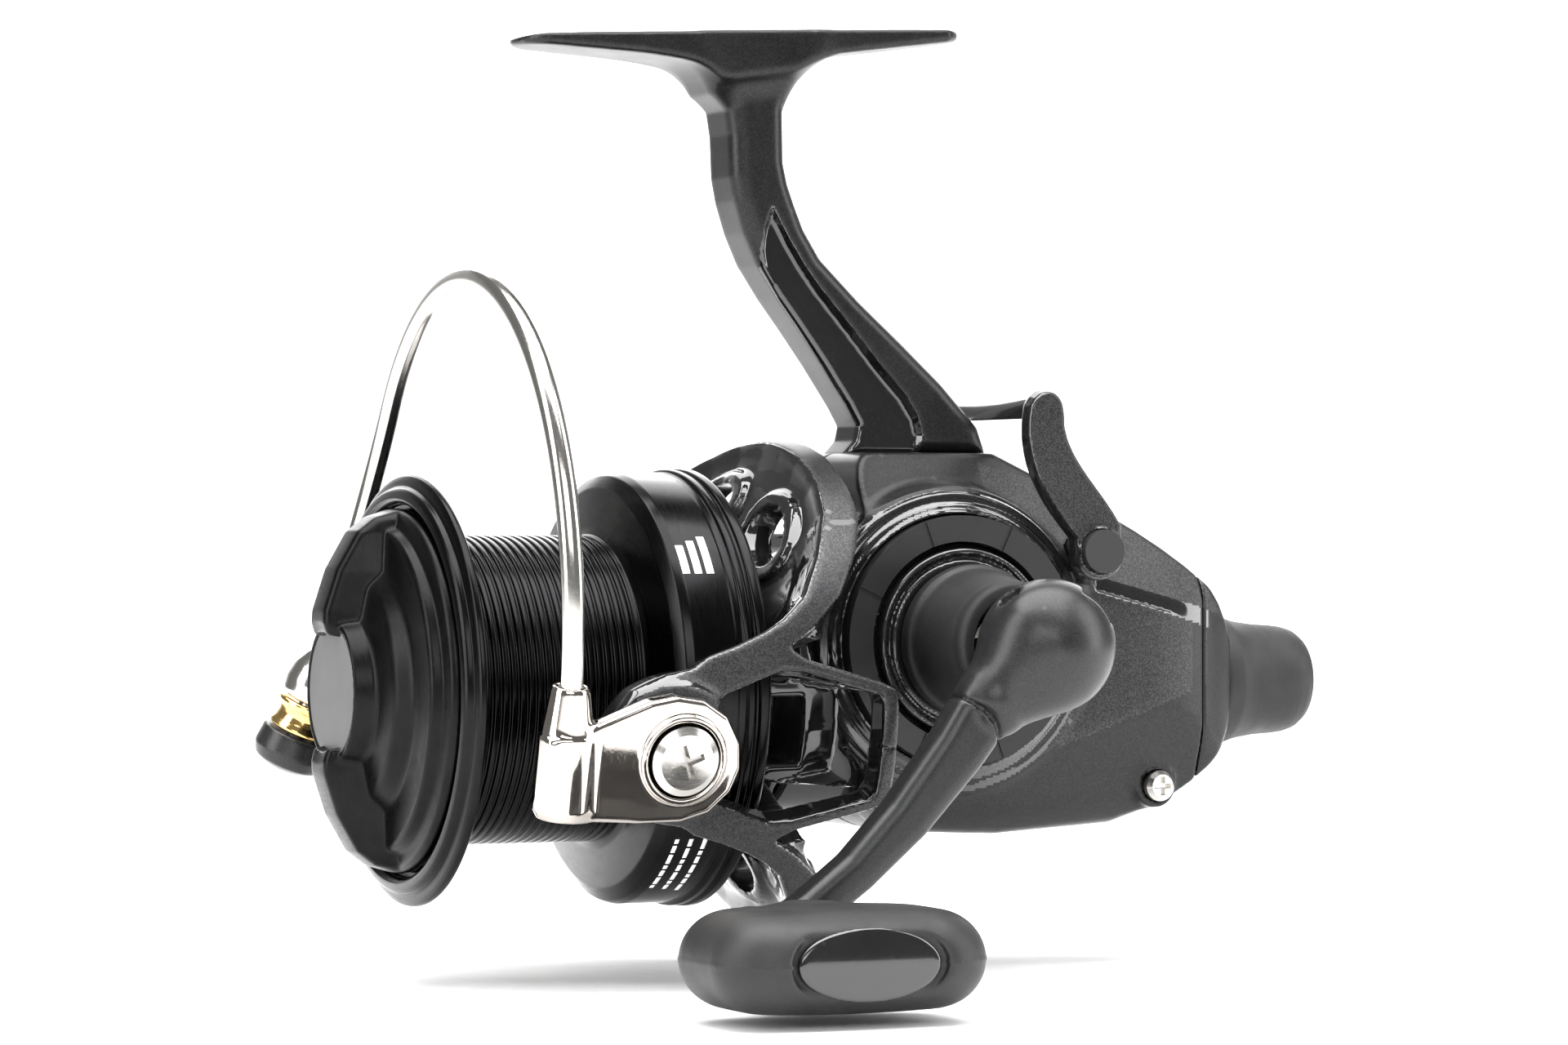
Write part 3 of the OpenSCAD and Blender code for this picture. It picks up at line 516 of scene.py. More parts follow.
GOLD = plating("gold_plating", (0.88, 0.6, 0.22), 0.12)
BRASS = turned_metal("brass", (0.72, 0.52, 0.24), 0.28)
FELT = felt("drag_felt", (0.2, 0.17, 0.13))
PRINT = flake_paint("white_print", 0.72, 0.8, 0.5, 0.001, 0.0)

# The CAD nodes that each material is given to, those that a piece replaces among them
CARRIED = {
    STEEL: (
        "cover_screws", "axle_bearing_right", "axle_bearing_left", "drive_axle", "fold_screw",
        "knob_spindle", "bail_pivot_screws", "roller_screw"
    ),
    SHAFT: (
        "pinion_bearing", "clutch_housing", "guide_rods", "tension_sleeve", "clutch_sleeve", "rotor_nut",
        "bail_spring", "roller_bearing", "slider_clamp", "main_shaft", "spool_seat", "drag_keyed_washers",
        "drag_retainer", "drag_spring", "freespool_ratchet", "lever_cam"
    ),
    BRASS: ("pinion_bush", "tension_washer", "oscillation_pinion", "pinion", "slider_block", "drag_nut"),
    CRANK: ("far_side_cap", "line_clip", "lever_axle", "crank_arm"),
    GEAR: ("drive_gear", "oscillation_gear"),
    GLOSS: ("arm_cover", "rotor_frame", "roller_arm"),
    SOFT: ("click_ring", "handle_collar", "rear_knob"),
    FELT: ("drag_lined_washers",),
    DISC: ("drag_knob_disc",),
    BODY: ("body_frame", "panel_ring", "freespool_lever"),
    PANEL: ("side_cover",),
    EDGE: ("rear_cover",),
    KNOB: ("knob_grip",),
    INLAY: ("knob_inlay",),
    ANODISED: ("spool_body", "spool_lip"),
    DIAL: ("drag_knob",),
    NICKEL: ("bail_holder",),
    WIRE: ("bail_wire",),
    GOLD: ("line_roller",),
}
for material, names in CARRIED.items():
    for name in names:
        mesh = NODES[name].data
        mesh.materials.clear()
        mesh.materials.append(material)
        mesh.shade_smooth()
        mesh.set_sharp_from_angle(angle=math.radians(30))


# -------- housing, stem and foot

HOUSING = [(33, -54), (45, -60)] + arc((45, -60), (55, -65), (64, -71.5), (66.4, -79))
HOUSING += arc((66.6, -86), (66.2, -92), (60.5, -98.2), (49, -102.2))
HOUSING += [(32, -103.2), (18, -102.5)] + arc((18, -102.5), (13.5, -101.5), (11, -99), (10.8, -94))
HOUSING += [(10.8, -62)] + arc((10.8, -62), (10.8, -57), (11.5, -54), (14, -54))
WALL_X = 17.0
TAIL_SPLIT = 60.0
SEAM = 0.06


def line_at(y, a, b):
    """Height at y of the line through a and b."""
    return a[1] + (y - a[0]) * (b[1] - a[1]) / (b[0] - a[0])


def facet(g, line, slope, side):
    """Half space that leans in from the panel: above (1) or below (-1) a line drawn on it."""
    away = (g.z - line_at(g.y, *line)) * side
    return (np.abs(g.x) - WALL_X + slope * away) / math.sqrt(1 + slope * slope * 1.1)


# Edges of the flat panel and of the keel, each as two points on the wall
PANEL_LOW = ((30.5, -94.3), (60.5, -83.7))
KEEL = ((22, -99.2), (56.3, -95.4))
PANEL_HIGH = ((40.5, -71), (60, -76.2))
# How far each facet leans in, and on which side of its edge it lies
FACETS = ((PANEL_LOW, 0.36, -1), (KEEL, 1.2, -1), (PANEL_HIGH, 0.62, 1))
SCREWS = [(53.6, -97.2), (16, -98.5)]


def tail_plan(g, inset):
    """Field that rounds the tail in plan, drawn in by inset."""
    along = np.maximum(g.y - 40, 0) / (30 - inset)
    across = np.abs(g.x) / (17.3 - inset)
    return ((along ** 2.6 + across ** 2.6) ** (1 / 2.6) - 1) * 15


def housing_field(g):
    """Both halves of the housing and its tail in one, with the rings, screws and the hollow inside."""
    outline = polygon(g.y, g.z, HOUSING)
    field = plate(outline, g.x, WALL_X, 1.6)
    for shape, soft in zip(FACETS, (0.35, 1.2, 0.6)):
        field = both(field, facet(g, *shape), soft)
    field = both(field, tail_plan(g, 0), 0.6)
    near = around(g, GEAR_Y, GEAR_Z)
    # round flanks that swell towards the gear ring, then the stepped rings themselves
    swell = np.maximum(near - 19.8, np.abs(g.x) - 16.8)
    swell = both(swell, (near - 24.5 + (np.abs(g.x) - 8) * 0.55) * 0.87, 1.0)
    field = join(field, both(swell, outline - 3.0), 1.5)
    for r, x in ((18.9, 17.6), (17.5, 18.3), (16.6, 19.1)):
        ring = plate(near - r, g.x, x, 0.45)
        field = join(field, ring, 0.3)
    groove = np.maximum(np.abs(near - 14.25) - 1.85, 17.9 - g.x)
    field = cut(field, groove)
    hub = plate(near - 11.8, g.x - 12, 9.2, 0.5)
    field = join(field, hub)
    field = cut(field, np.maximum(np.abs(near - 10.6) - 0.3, 20.5 - g.x))
    # nose behind the rotor
    round_axis = length(g.x, g.z - AXIS_Z)
    nose = plate(round_axis - 16.6, g.y - 6.5, 5.2, 0.6)
    field = join(field, nose, 1.0)
    field = join(field, plate(round_axis - 10.5, g.y - 1, 4, 0.4))
    # strip above the panel, sunk between it and the top ridge
    strip = line_at(g.y, *PANEL_HIGH)
    sunk = np.maximum(np.abs(g.z - strip - 0.9) - 0.75, 15.9 - np.abs(g.x))
    sunk = np.maximum(sunk, np.maximum(43.5 - g.y, g.y - 66))
    field = cut(field, sunk, 0.4)
    # notches of the cover screws
    for y, z in SCREWS:
        from_screw = around(g, y, z)
        field = join(field, plate(from_screw - 2.9, g.x - 11.4, 2.4, 0.4), 0.8)
        field = cut(field, np.maximum(from_screw - 2.05, 12.3 - g.x))
    # inside
    inner = np.maximum(outline + 2.0, np.abs(g.x) - WALL_X + 2.0)
    for shape, wall in zip(FACETS, (1.7, 1.5, 1.7)):
        inner = np.maximum(inner, facet(g, *shape) + wall)
    inner = np.maximum(inner, tail_plan(g, 2.2))
    field = cut(field, inner)
    field = cut(field, np.maximum(near - 18.6, np.abs(g.x - 5.75) - 2.85))
    field = cut(field, np.maximum(round_axis - 15, np.abs(g.y - 9) - 5))
    field = cut(field, np.maximum(round_axis - 6.55, np.abs(g.y - 3.5) - 4.6))
    field = cut(field, np.maximum(round_axis - 6.55, -g.y + 50))
    field = cut(field, near - 5.0)
    field = cut(field, np.maximum(near - 7.1, np.abs(g.x) - 19))
    return cut(field, around(g, LEVER_Y, LEVER_Z) - 1.9)


def recolour(mesh, rule):
    """Gives each face the material slot that rule(centres, normals) names, both in millimetres."""
    n = len(mesh.polygons)
    centres = np.empty(n * 3, np.float32)
    normals = np.empty(n * 3, np.float32)
    mesh.polygons.foreach_get("center", centres)
    mesh.polygons.foreach_get("normal", normals)
    slots = rule(centres.reshape(-1, 3) / MM, normals.reshape(-1, 3))
    mesh.polygons.foreach_set("material_index", slots.astype(np.int32))


def housing_paint(c, n):
    """Panel, darker flanks, glossy strip and rings."""
    x, y, z = np.abs(c[:, 0]), c[:, 1], c[:, 2]
    near = np.hypot(y - GEAR_Y, z - GEAR_Z)
    slots = np.ones(len(c))
    face = (np.abs(n[:, 0]) > 0.955) & (z > line_at(y, *PANEL_LOW) - 0.2)
    slots[face & (near > 19.2)] = 0
    upper = (z > line_at(y, *PANEL_HIGH) + 1.8) & (y > 30) & (x > 9)
    slots[upper & (np.abs(n[:, 0]) > 0.5)] = 0
    strip = np.abs(z - line_at(y, *PANEL_HIGH) - 0.9) < 1.1
    slots[strip & (y > 43) & (x > 13)] = 2
    slots[(near < 19.3) & (x > 16.9)] = 2
    slots[(near < 19.3) & (x > 17.2) & face] = 1
    slots[y < 10.5] = 2
    return slots


def make_housing():
    g = Grid((-19.6, 0, -105), (22.2, 70.2, -52.6), 0.32)
    field = housing_field(g)
    look = [PANEL, BODY, EDGE]
    parts = (
        ("side_panel", np.maximum(SEAM - g.x, g.y - TAIL_SPLIT + SEAM), "side_cover"),
        ("body_shell", np.maximum(g.x + SEAM, g.y - TAIL_SPLIT + SEAM), "body_frame"),
        ("tail_cover", TAIL_SPLIT + SEAM - g.y, "rear_cover"),
    )
    for name, bound, node in parts:
        mesh = solid(name, g, np.maximum(field, bound), 4)
        recolour(mesh, housing_paint)
        piece(name, mesh, look, "root", [node])


STEM = [(-5.2, -2), (-4.7, -8.2), (-2.9, -10.4), (-2.4, -13.6), (-2.2, -18.8), (-1.6, -22), (-0.3, -26.1),
        (1.5, -30.1), (4.3, -34.3), (7.2, -38.1), (10.7, -42.9), (14.2, -48.1), (15.6, -50.6),
        (15.2, -52.4), (13.4, -54.3), (34, -54.3), (32.7, -50.6), (27.4, -44.9), (21.6, -39.6),
        (15.7, -34.4), (10.2, -29), (7.9, -25.3), (6.6, -22.1), (5.7, -19.6), (5.1, -16.9),
        (5, -10.4), (6.6, -6.6), (9, -2)]
RECESS = [(3.0, -22.6), (1.9, -25.4), (1.5, -28.2), (1.9, -30.4), (3.2, -32.9), (5.9, -37.9), (9.4, -43.1),
          (12.9, -48.3), (14.2, -51), (14.0, -55.5), (23.6, -55.5), (24.1, -51.8), (23.4, -49.2),
          (21.7, -46.6), (18.3, -43), (13.9, -37.8), (9.6, -32.9), (7.4, -30.0), (5.4, -26.9),
          (4.0, -24.4)]


STEM_HALF = 5.0
FOOT_HALF_LENGTH = 30.8


def make_stem():
    g = Grid((-7.6, -32.4, -55.2), (7.6, 36.4, 1.6), 0.25)
    stem = plate(polygon(g.y, g.z, STEM), g.x, STEM_HALF, 2.3)
    hollow = polygon(g.y, g.z, RECESS)
    depth = np.clip(-1.3 * hollow, 0.0, 0.85) + 0.3
    recess = np.maximum(hollow, STEM_HALF - depth - np.abs(g.x))
    # foot in its own tilted frame
    c, s = math.cos(FOOT_TILT), math.sin(FOOT_TILT)
    y, z = g.y * c + g.z * s, -g.y * s + g.z * c
    end = FOOT_HALF_LENGTH
    under = [(-end, 0), (-end, -1.5), (-15, -3.1)] + arc((-15, -3.1), (-9.5, -3.9), (-7, -4.4), (-4.8, -6))
    under += arc((4.6, -5.2), (6.5, -4.6), (8, -4.0), (12, -3.4)) + [(end, -1.7), (end, 0)]
    side = polygon(y, z, under)
    plan = np.maximum(np.abs(g.x) - 6.5 + 0.0016 * y * y, np.abs(y) - end)
    tips = length(g.x, np.abs(y) - end + 6.2) - 6.2
    plan = both(plan, np.where(np.abs(y) > end - 6.2, tips, plan))
    crown = z + 0.1 + 0.0175 * np.maximum(np.abs(g.x) - 3, 0) ** 2
    foot = both(both(side, plan, 0.9), crown, 0.6)
    scoop = length(g.x * 0.62, z - 8.4) - 8.9
    for way in (-1, 1):
        reach = 24.5 - way * y
        foot = cut(foot, np.maximum(scoop + 0.16 * np.maximum(reach, 0), reach - 3), 0.5)
    field = both(cut(join(stem, foot, 4.5), recess, 0.25), crown)
    field = both(field, -54.25 - g.z)
    mesh = solid("stem_and_foot", g, field, 5)

    def paint(c, n):
        sunk = polygon(c[:, 1], c[:, 2], RECESS) < 0.12
        return np.where(sunk & (np.abs(c[:, 0]) > 3), 1, 0)

    recolour(mesh, paint)
    piece("stem_and_foot", mesh, [BODY, GLOSS], "root", ["body_frame"])


make_housing()
make_stem()


# -------- rotor


class RotorGrid(Grid):
    """A grid in the rotor's own frame: x along the arms, z = 0 on the spool axis."""

    def __init__(self, low, high, step):
        super().__init__(low, high, step)
        self.r = length(self.x, self.z)
        self.fold = np.arctan2(np.abs(self.z), np.abs(self.x))


def place_turned(mesh):
    """Moves a mesh drawn in the rotor's frame to its place."""
    mesh.transform(Matrix.Translation((0, 0, AXIS_Z * MM)) @ Matrix.Rotation(PHASE, 4, "Y"))
    return mesh


ROTOR_R = 33.0
# Edges of the hoop and of the arm window, unrolled: [degrees from the arm, Y]
HOOP_FRONT = [(20, -17.8), (22, -14.3), (25, -10.3), (28, -7.4), (33, -4.2), (43, -1.2), (56, 1.7),
              (68, 3.0), (80, 3.5), (100, 3.6)]
HOOP_REAR = [(100, 8.0), (80, 7.8), (66, 7.4), (57, 6.8), (50, 5.8), (43, 4.1), (33, 0.9), (26, -3.1),
             (21.5, -6.8)]
RIB = [(19, -4.6), (14.2, 5.0), (12.4, 7.4), (0, 7.4)]
WINDOW = [(0, -17.4), (9.4, -17.4), (11.6, -16.0), (16.6, -8.3), (16.2, -5.4), (11.6, 4.5), (9.6, 5.2),
          (0, 5.2)]
ARM_TIP = [(0, -31.2), (6.5, -30.6), (12.5, -28), (16, -23.5), (17.5, -20)]


def unrolled(points):
    """Points of [degrees, Y] as millimetres along the rotor's wall."""
    return [(math.radians(a) * ROTOR_R, y) for a, y in points]


def wall_radius(fold):
    """Middle of the rotor's wall, a little further out on the arms than on the hoop."""
    return 29.6 + 2.6 * np.cos(fold) ** 2


DRUM = [(3.5, -13.4), (18, -13.4), (22.4, -12), (22.4, -7.4), (16.6, -5.2), (16.6, 0.8), (14.8, 0.8),
        (14.8, -6.6), (20.4, -8.6), (20.4, -10.2), (3.5, -10.2)]


def rotor_field(g):
    mid = wall_radius(g.fold)
    along = g.fold * ROTOR_R
    rim = polygon(along, g.y, unrolled(ARM_TIP + HOOP_FRONT + HOOP_REAR + RIB))
    shell = plate(rim, g.r - mid, 1.75, 0.7)
    window = polygon(along, g.y, unrolled(WINDOW))
    # pivot boss: flat, square to the arm
    pivot = around(g, PIVOT_Y)
    boss = plate(pivot - 8.2, np.abs(g.x) - 31.9, 2.4, 0.7)
    field = join(shell, boss, 2.5)
    # sloping wall from the hoop down to the web, then the web
    front = np.interp(np.degrees(g.fold), *zip(*HOOP_FRONT)).astype(np.float32)
    drop = np.clip((mid - g.r) / 12.5, 0, 1)
    sheet = front + 1.7 - 1.2 * np.clip((mid - g.r) / 3.5, 0, 1) - (front + 4.6) * drop ** 1.3 * 0.9
    sheet = np.maximum(sheet, -4.6 + 0.105 * np.maximum(g.r - 17, 0))
    web = np.maximum(np.abs(g.y - sheet) - 1.35, np.maximum(g.r - mid, 15.2 - g.r))
    web = np.maximum(web, np.where(g.fold < np.radians(24), (np.radians(24) - g.fold) * g.r * 0.9, -1))
    field = join(field, web, 1.6)
    # loops: an eye on each side of the top and the bottom of the rotor
    eye_r, eye_a = 23.4, math.radians(67)
    eu, ew = eye_r * math.cos(eye_a), eye_r * math.sin(eye_a)
    du, dw = np.abs(g.x) - eu, np.abs(g.z) - ew
    tangent, radial = du * math.sin(eye_a) - dw * math.cos(eye_a), du * math.cos(eye_a) + dw * math.sin(eye_a)
    eye = length(tangent * 0.62, radial) - 2.9
    lip = np.maximum(np.abs(eye - 0.8) - 0.8, np.abs(g.y - sheet + 0.5) - 2.0)
    field = join(field, np.maximum(lip, -6.5 - g.y), 0.8)
    field = cut(field, np.maximum(eye, np.abs(g.y) - 12), 0.5)
    # struts from the drum out to the arms, inside the windows
    strut = np.maximum(np.abs(g.z) - 7.6 + 0.1 * (np.abs(g.x) - 16), np.abs(np.abs(g.x) - 23) - 8)
    strut = np.maximum(strut, np.maximum(-6.3 - g.y, g.y - 1.4 - 0.25 * (np.abs(g.x) - 16)))
    scoop = np.maximum(np.abs(g.z) - 5.2 + 0.12 * (np.abs(g.x) - 16), g.y + 2.2 - 0.1 * (np.abs(g.x) - 16))
    strut = cut(strut, np.maximum(scoop, -g.y - 7.5), 0.4)
    field = join(field, strut, 0.6)
    ring = np.maximum(np.abs(g.r - mid + 1.2) - 1.5, np.abs(g.y - 6.2) - 1.3)
    ring = np.maximum(ring, (g.fold - np.radians(13)) * 30)
    field = join(field, ring, 0.5)
    field = join(field, polygon(g.r, g.y, DRUM), 0.4)
    field = cut(field, np.maximum(np.maximum(window, 24.5 - g.r), g.y - 5.2), 0.5)
    clear = np.maximum(g.r - 28.75, np.abs(g.y + 12.0) - 5.2)
    field = cut(field, np.maximum(clear, 22.6 - g.r))
    field = cut(field, around(g, PIVOT_Y) - 1.7)
    return cut(field, g.r - 3.55)


def make_rotor():
    g = RotorGrid((-35.4, -32.4, -32.6), (35.4, 14.2, 32.6), 0.34)
    field = rotor_field(g)
    mesh = solid("rotor_shell", g, field, 4)

    def paint(c, n):
        """Matte on the outer faces of hoop and arms, gloss inside."""
        r = np.hypot(c[:, 0], c[:, 2])
        fold = np.arctan2(np.abs(c[:, 2]), np.abs(c[:, 0]))
        out = (c[:, 0] * n[:, 0] + c[:, 2] * n[:, 2]) / np.maximum(r, 1e-6)
        mid = wall_radius(fold)
        slots = np.zeros(len(c))
        slots[(out > 0.8) & (r > mid + 0.9)] = 1
        slots[(out < 0.5) & (r < 27.4) & (r > 15) & (c[:, 1] > -7)] = 2
        return slots

    recolour(mesh, paint)
    piece("rotor_shell", place_turned(mesh), [GLOSS, BAND, WEB], "rotor", ["rotor_frame"])


make_rotor()


# -------- spool and drag knob

FORWARD = (0, -1, 0)
ON_AXIS = (0, 0, AXIS_Z)
LINE_GROOVES = 19


def make_spool():
    pitch = 21.5 / LINE_GROOVES
    grooves = []
    for i in range(LINE_GROOVES):
        f = 21.2 + i * pitch
        grooves += [(19.4, f), (19.1, f + 0.12), (19.1, f + 0.42), (19.4, f + 0.54)]
    skirt = [(26.2, 7.2), (27.5, 7.2), (27.9, 7.6), (27.9, 8.7), (27.45, 8.9), (27.45, 9.3), (27.8, 9.5),
             (27.8, 10.3), (27.3, 10.5), (27.3, 11.4), (27.4, 11.6), (27.4, 17.3), (27.0, 18.3), (25.4, 19.3),
             (20.4, 20.2), (19.4, 20.6)]
    inner = [(19.4, 43.4), (15.2, 43.4), (15.2, 32.6), (5, 32.6), (5, 24), (7, 24), (7, 30.2), (16.8, 30.2),
             (16.8, 17.2), (26.1, 17)]
    mesh = turned("spool_skirt_and_arbor", skirt + grooves + inner, ON_AXIS, FORWARD, 224, 0.22)
    piece("spool_skirt_and_arbor", mesh, ANODISED, "spool", ["spool_body"], 50)
    rim = [(16.2, 43.4), (22, 43.4), (26.2, 43.8), (26.85, 44.1), (27, 44.5), (26.85, 45), (26.3, 45.3),
           (25.5, 45.5), (25.35, 46.1), (24.9, 46.5), (24.2, 46.65), (23.9, 46.65), (23.6, 46.4),
           (23.3, 46.0), (23.3, 44.9), (16.2, 44.9)]
    mesh = turned("front_lip", rim, ON_AXIS, FORWARD, 224, 0.2)
    piece("front_lip", mesh, ANODISED, "spool", ["spool_lip"], 50)


def make_print():
    """Plain white marks on the skirt: a stack of three bars, and rows of short dashes low down."""
    radius, thick = 27.42, 0.08
    marks = [(-17.2 + 1.6 * i, 1.0, 32.5, 41.5 + 1.5 * i) for i in range(3)]
    for row in range(3):
        start = -41.5
        for k in range(7):
            span = 1.6 + 1.1 * ((k + row) % 3)
            marks.append((-17.1 + 1.9 * row, 0.55, start - span, start))
            start -= span + 0.8
    verts, faces = [], []
    for f, wide, a0, a1 in marks:
        steps = 8
        start = len(verts)
        for k in range(steps + 1):
            t = math.radians(a0 + (a1 - a0) * k / steps)
            for r, y in ((radius, f), (radius, f + wide), (radius - thick, f + wide), (radius - thick, f)):
                verts.append((r * math.cos(t), y, AXIS_Z + r * math.sin(t)))
        for k in range(steps):
            at = start + 4 * k
            faces += [(at + i, at + (i + 1) % 4, at + 4 + (i + 1) % 4, at + 4 + i) for i in range(4)]
        end = start + 4 * steps
        faces += [(start + 3, start + 2, start + 1, start), (end, end + 1, end + 2, end + 3)]
    mesh = closed_mesh("skirt_print", [Vector(v) * MM for v in verts], faces)
    piece("skirt_print", mesh, PRINT, "spool", (), 180)


def make_drag_knob():
    g = Grid((-23.2, -57.4, AXIS_Z - 23.2), (23.2, -40.4, AXIS_Z + 23.2), 0.26)
    r, f, w = length(g.x, g.z - AXIS_Z), -g.y, np.abs(g.z - AXIS_Z)
    half = [(22.7, 45.4), (22.75, 46.6), (22.3, 47.2), (20.7, 47.7), (20.3, 48.8), (19.8, 49.1), (15.8, 49.5),
            (15.3, 49.8), (13.9, 51.2), (13.3, 51.5), (10.4, 52.2), (9.7, 52.6), (9.0, 55.0), (8.4, 55.0),
            (8.3, 53.9), (0.5, 53.9)]
    cone = polygon(r, f, [(-a, b) for a, b in half[::-1]] + half)
    ridge = [(7.4, 56.2), (8.8, 56.65), (10.3, 56.6), (15.4, 54.9), (20, 52.2), (21.8, 49.8), (22.6, 47.2)]
    front = np.interp(r, *zip(*ridge)).astype(np.float32)
    lobe = np.maximum(polygon(r, f, [(7.3, 54)] + ridge + [(22.2, 45.6), (7.3, 45.6)]), 6.4 - w)
    flank = (np.abs(g.x) - 2.9 - 0.34 * np.maximum(front - f, 0)) * 0.95
    lobe = both(lobe, flank, 0.85)
    field = join(cone, lobe, 0.5)
    field = cut(field, np.maximum(r - 6.1, f - 50.3))
    field = cut(field, f - 41.0)
    hub = np.maximum(np.maximum(r - 9, 6.1 - r), np.abs(f - 43.4) - 2.3)
    field = join(field, hub)
    mesh = solid("drag_knob_shell", g, field, 3)
    piece("drag_knob_shell", mesh, DIAL, "drag_dial", ["drag_knob"])


make_spool()
make_print()
make_drag_knob()


# -------- bail

HOLDER = [(-30.5, 6.0), (-27.5, 7.2), (-24.3, 7.8), (-20.5, 7.2), (-17.4, 5.2), (-15.6, 2.0), (-15.3, -1.2),
          (-16.4, -4.2), (-19, -6.7), (-22.6, -7.8), (-28.3, -7.9), (-36.8, -7.4), (-39.8, -6.3),
          (-40.8, -4.1), (-40.6, 2.6), (-37, 3.4)]


def upright_cone(g, x, y, stations):
    """A round upright whose radius follows [height, radius] stations."""
    heights = [h for h, _ in stations]
    radius = np.interp(g.z, heights, [r for _, r in stations]).astype(np.float32)
    side = (length(g.x - x, g.y - y) - radius) * 0.96
    return np.maximum(side, np.maximum(heights[0] - g.z, g.z - heights[-1]))


def make_holder():
    g = Grid((31, -43.6, -9.4), (40.4, -14.4, 10.2), 0.17)
    outline = polygon(g.y, g.z, HOLDER)
    bow = 0.7 * np.clip((-g.y - 30) / 10, 0, 1) ** 2
    field = plate(outline, g.x - 36.3 - bow, 1.45, 0.7)
    stations = [(-7.4, 3.0), (-6.2, 3.7), (2.9, 3.55), (3.1, 3.25), (8.4, 2.45), (8.9, 2.2)]
    column = upright_cone(g, 35.5, -37.4, stations)
    field = join(field, column, 1.0)
    pivot = around(g, PIVOT_Y)
    seat = np.maximum(np.abs(pivot - 5.1) - 0.42, np.abs(g.x - 37.7) - 0.55)
    field = join(field, seat, 0.35)
    field = cut(field, np.maximum(pivot - 4.5, 37.45 - g.x), 0.15)
    field = cut(field, pivot - 2.55)
    field = cut(field, np.maximum(length(g.x - 36, g.y + 37.5) - 1.62, 6.5 - g.z))
    field = cut(field, g.x - 34.72 + np.where(g.y < -33, 3.2, 0))
    mesh = place_turned(solid("bail_arm", g, field, 6))
    piece("bail_arm", mesh, NICKEL, "bail", ["bail_holder"], 180)


def along_roller(g):
    """Distance from the line roller's axis, and distance along it."""
    u, y, w = to_rotor(*ROLLER)
    axis = Vector(ROLLER_AXIS)
    c, s = math.cos(PHASE), math.sin(PHASE)
    a = (axis.x * c - axis.z * s, axis.y, axis.x * s + axis.z * c)
    dx, dy, dz = g.x - u, g.y - y, g.z - w
    h = dx * a[0] + dy * a[1] + dz * a[2]
    return np.sqrt(np.maximum(dx * dx + dy * dy + dz * dz - h * h, 0)), h


def make_roller_arm():
    g = Grid((-39.6, -53.4, -20), (-28.4, -14.6, 8.6), 0.22)
    hull = capsule_outline((PIVOT_Y, 0), 6.8, (-43.6, -15.2), 3.4)
    field = plate(polygon(g.y, g.z, hull), g.x + 36.0, 1.3, 0.7)
    rho, h = along_roller(g)
    half = [(4.7, 2.35), (5.0, 5.0), (4.4, 6.5), (3.0, 7.2)]
    cap = polygon(rho, h, [(-r, at) for r, at in half[::-1]] + half)
    field = join(field, cap, 1.2)
    field = cut(field, np.maximum(rho - 4.55, np.abs(h) - 2.33))
    cone = np.interp(h, [-11, -9.4, -2.2], [1.8, 2.2, 4.7]).astype(np.float32)
    field = cut(field, np.maximum(rho - cone, np.abs(h + 6.5) - 4.3))
    field = cut(field, np.maximum(rho - 1.55, h - 6.3))
    pivot = around(g, PIVOT_Y)
    field = cut(field, pivot - 2.55)
    mesh = place_turned(solid("roller_arm_shell", g, field, 5))
    piece("roller_arm_shell", mesh, CRANK, "bail", ["roller_arm"])


def capsule_outline(a, ra, b, rb):
    """Outline around two circles."""
    steps = 12
    ang = math.atan2(b[1] - a[1], b[0] - a[0])
    spread = math.acos((ra - rb) / math.hypot(b[0] - a[0], b[1] - a[1]))
    out = []
    for k in range(steps + 1):
        t = ang + spread + (2 * math.pi - 2 * spread) * k / steps
        out.append((a[0] + ra * math.cos(t), a[1] + ra * math.sin(t)))
    for k in range(steps + 1):
        t = ang - spread + 2 * spread * k / steps
        out.append((b[0] + rb * math.cos(t), b[1] + rb * math.sin(t)))
    return out


def make_wire():
    arch = [(36 * math.cos(t), -37.5 - 1.0 * math.sin(t), 9 + 43 * math.sin(t))
            for t in [math.radians(3 * k) for k in range(51)]]
    u, y, w = to_rotor(*ROLLER)
    end = (u + 0.6, y + 2.0, w + 6.2)
    tail = arc(arch[-1], (-36.4, -38, 18), (-35.4, -41.5, 7), end, 18)
    path = [(36, -37.5, 6.6)] + arch + tail
    mesh = tube("bail_bow", [from_rotor(*p) for p in path], 1.42, 36, (0, 1, 0.001))
    piece("bail_bow", mesh, WIRE, "bail", ["bail_wire"], 60)
    profile = [(0, -2.35), (3.9, -2.35), (4.25, -3.0), (4.4, -4.6), (4.0, -6.6), (3.0, -8.4), (1.9, -9.8),
               (1.3, -10.4), (0, -10.4)]
    mesh = turned("bail_cone", profile, ROLLER, ROLLER_AXIS, 96, 0.4)
    piece("bail_cone", mesh, WIRE, "bail", ["bail_wire"], 60)
    half = [(3.75, 0.8), (4.2, 1.45), (4.2, 1.8), (4.0, 2), (3.02, 2)]
    profile = [(r, -at) for r, at in half[::-1]] + [(3.6, 0)] + half
    mesh = turned("gold_roller", profile, ROLLER, ROLLER_AXIS, 96, 0.12)
    piece("gold_roller", mesh, GOLD, "roller", ["line_roller"], 50)


make_holder()
make_roller_arm()
make_wire()


# -------- handle


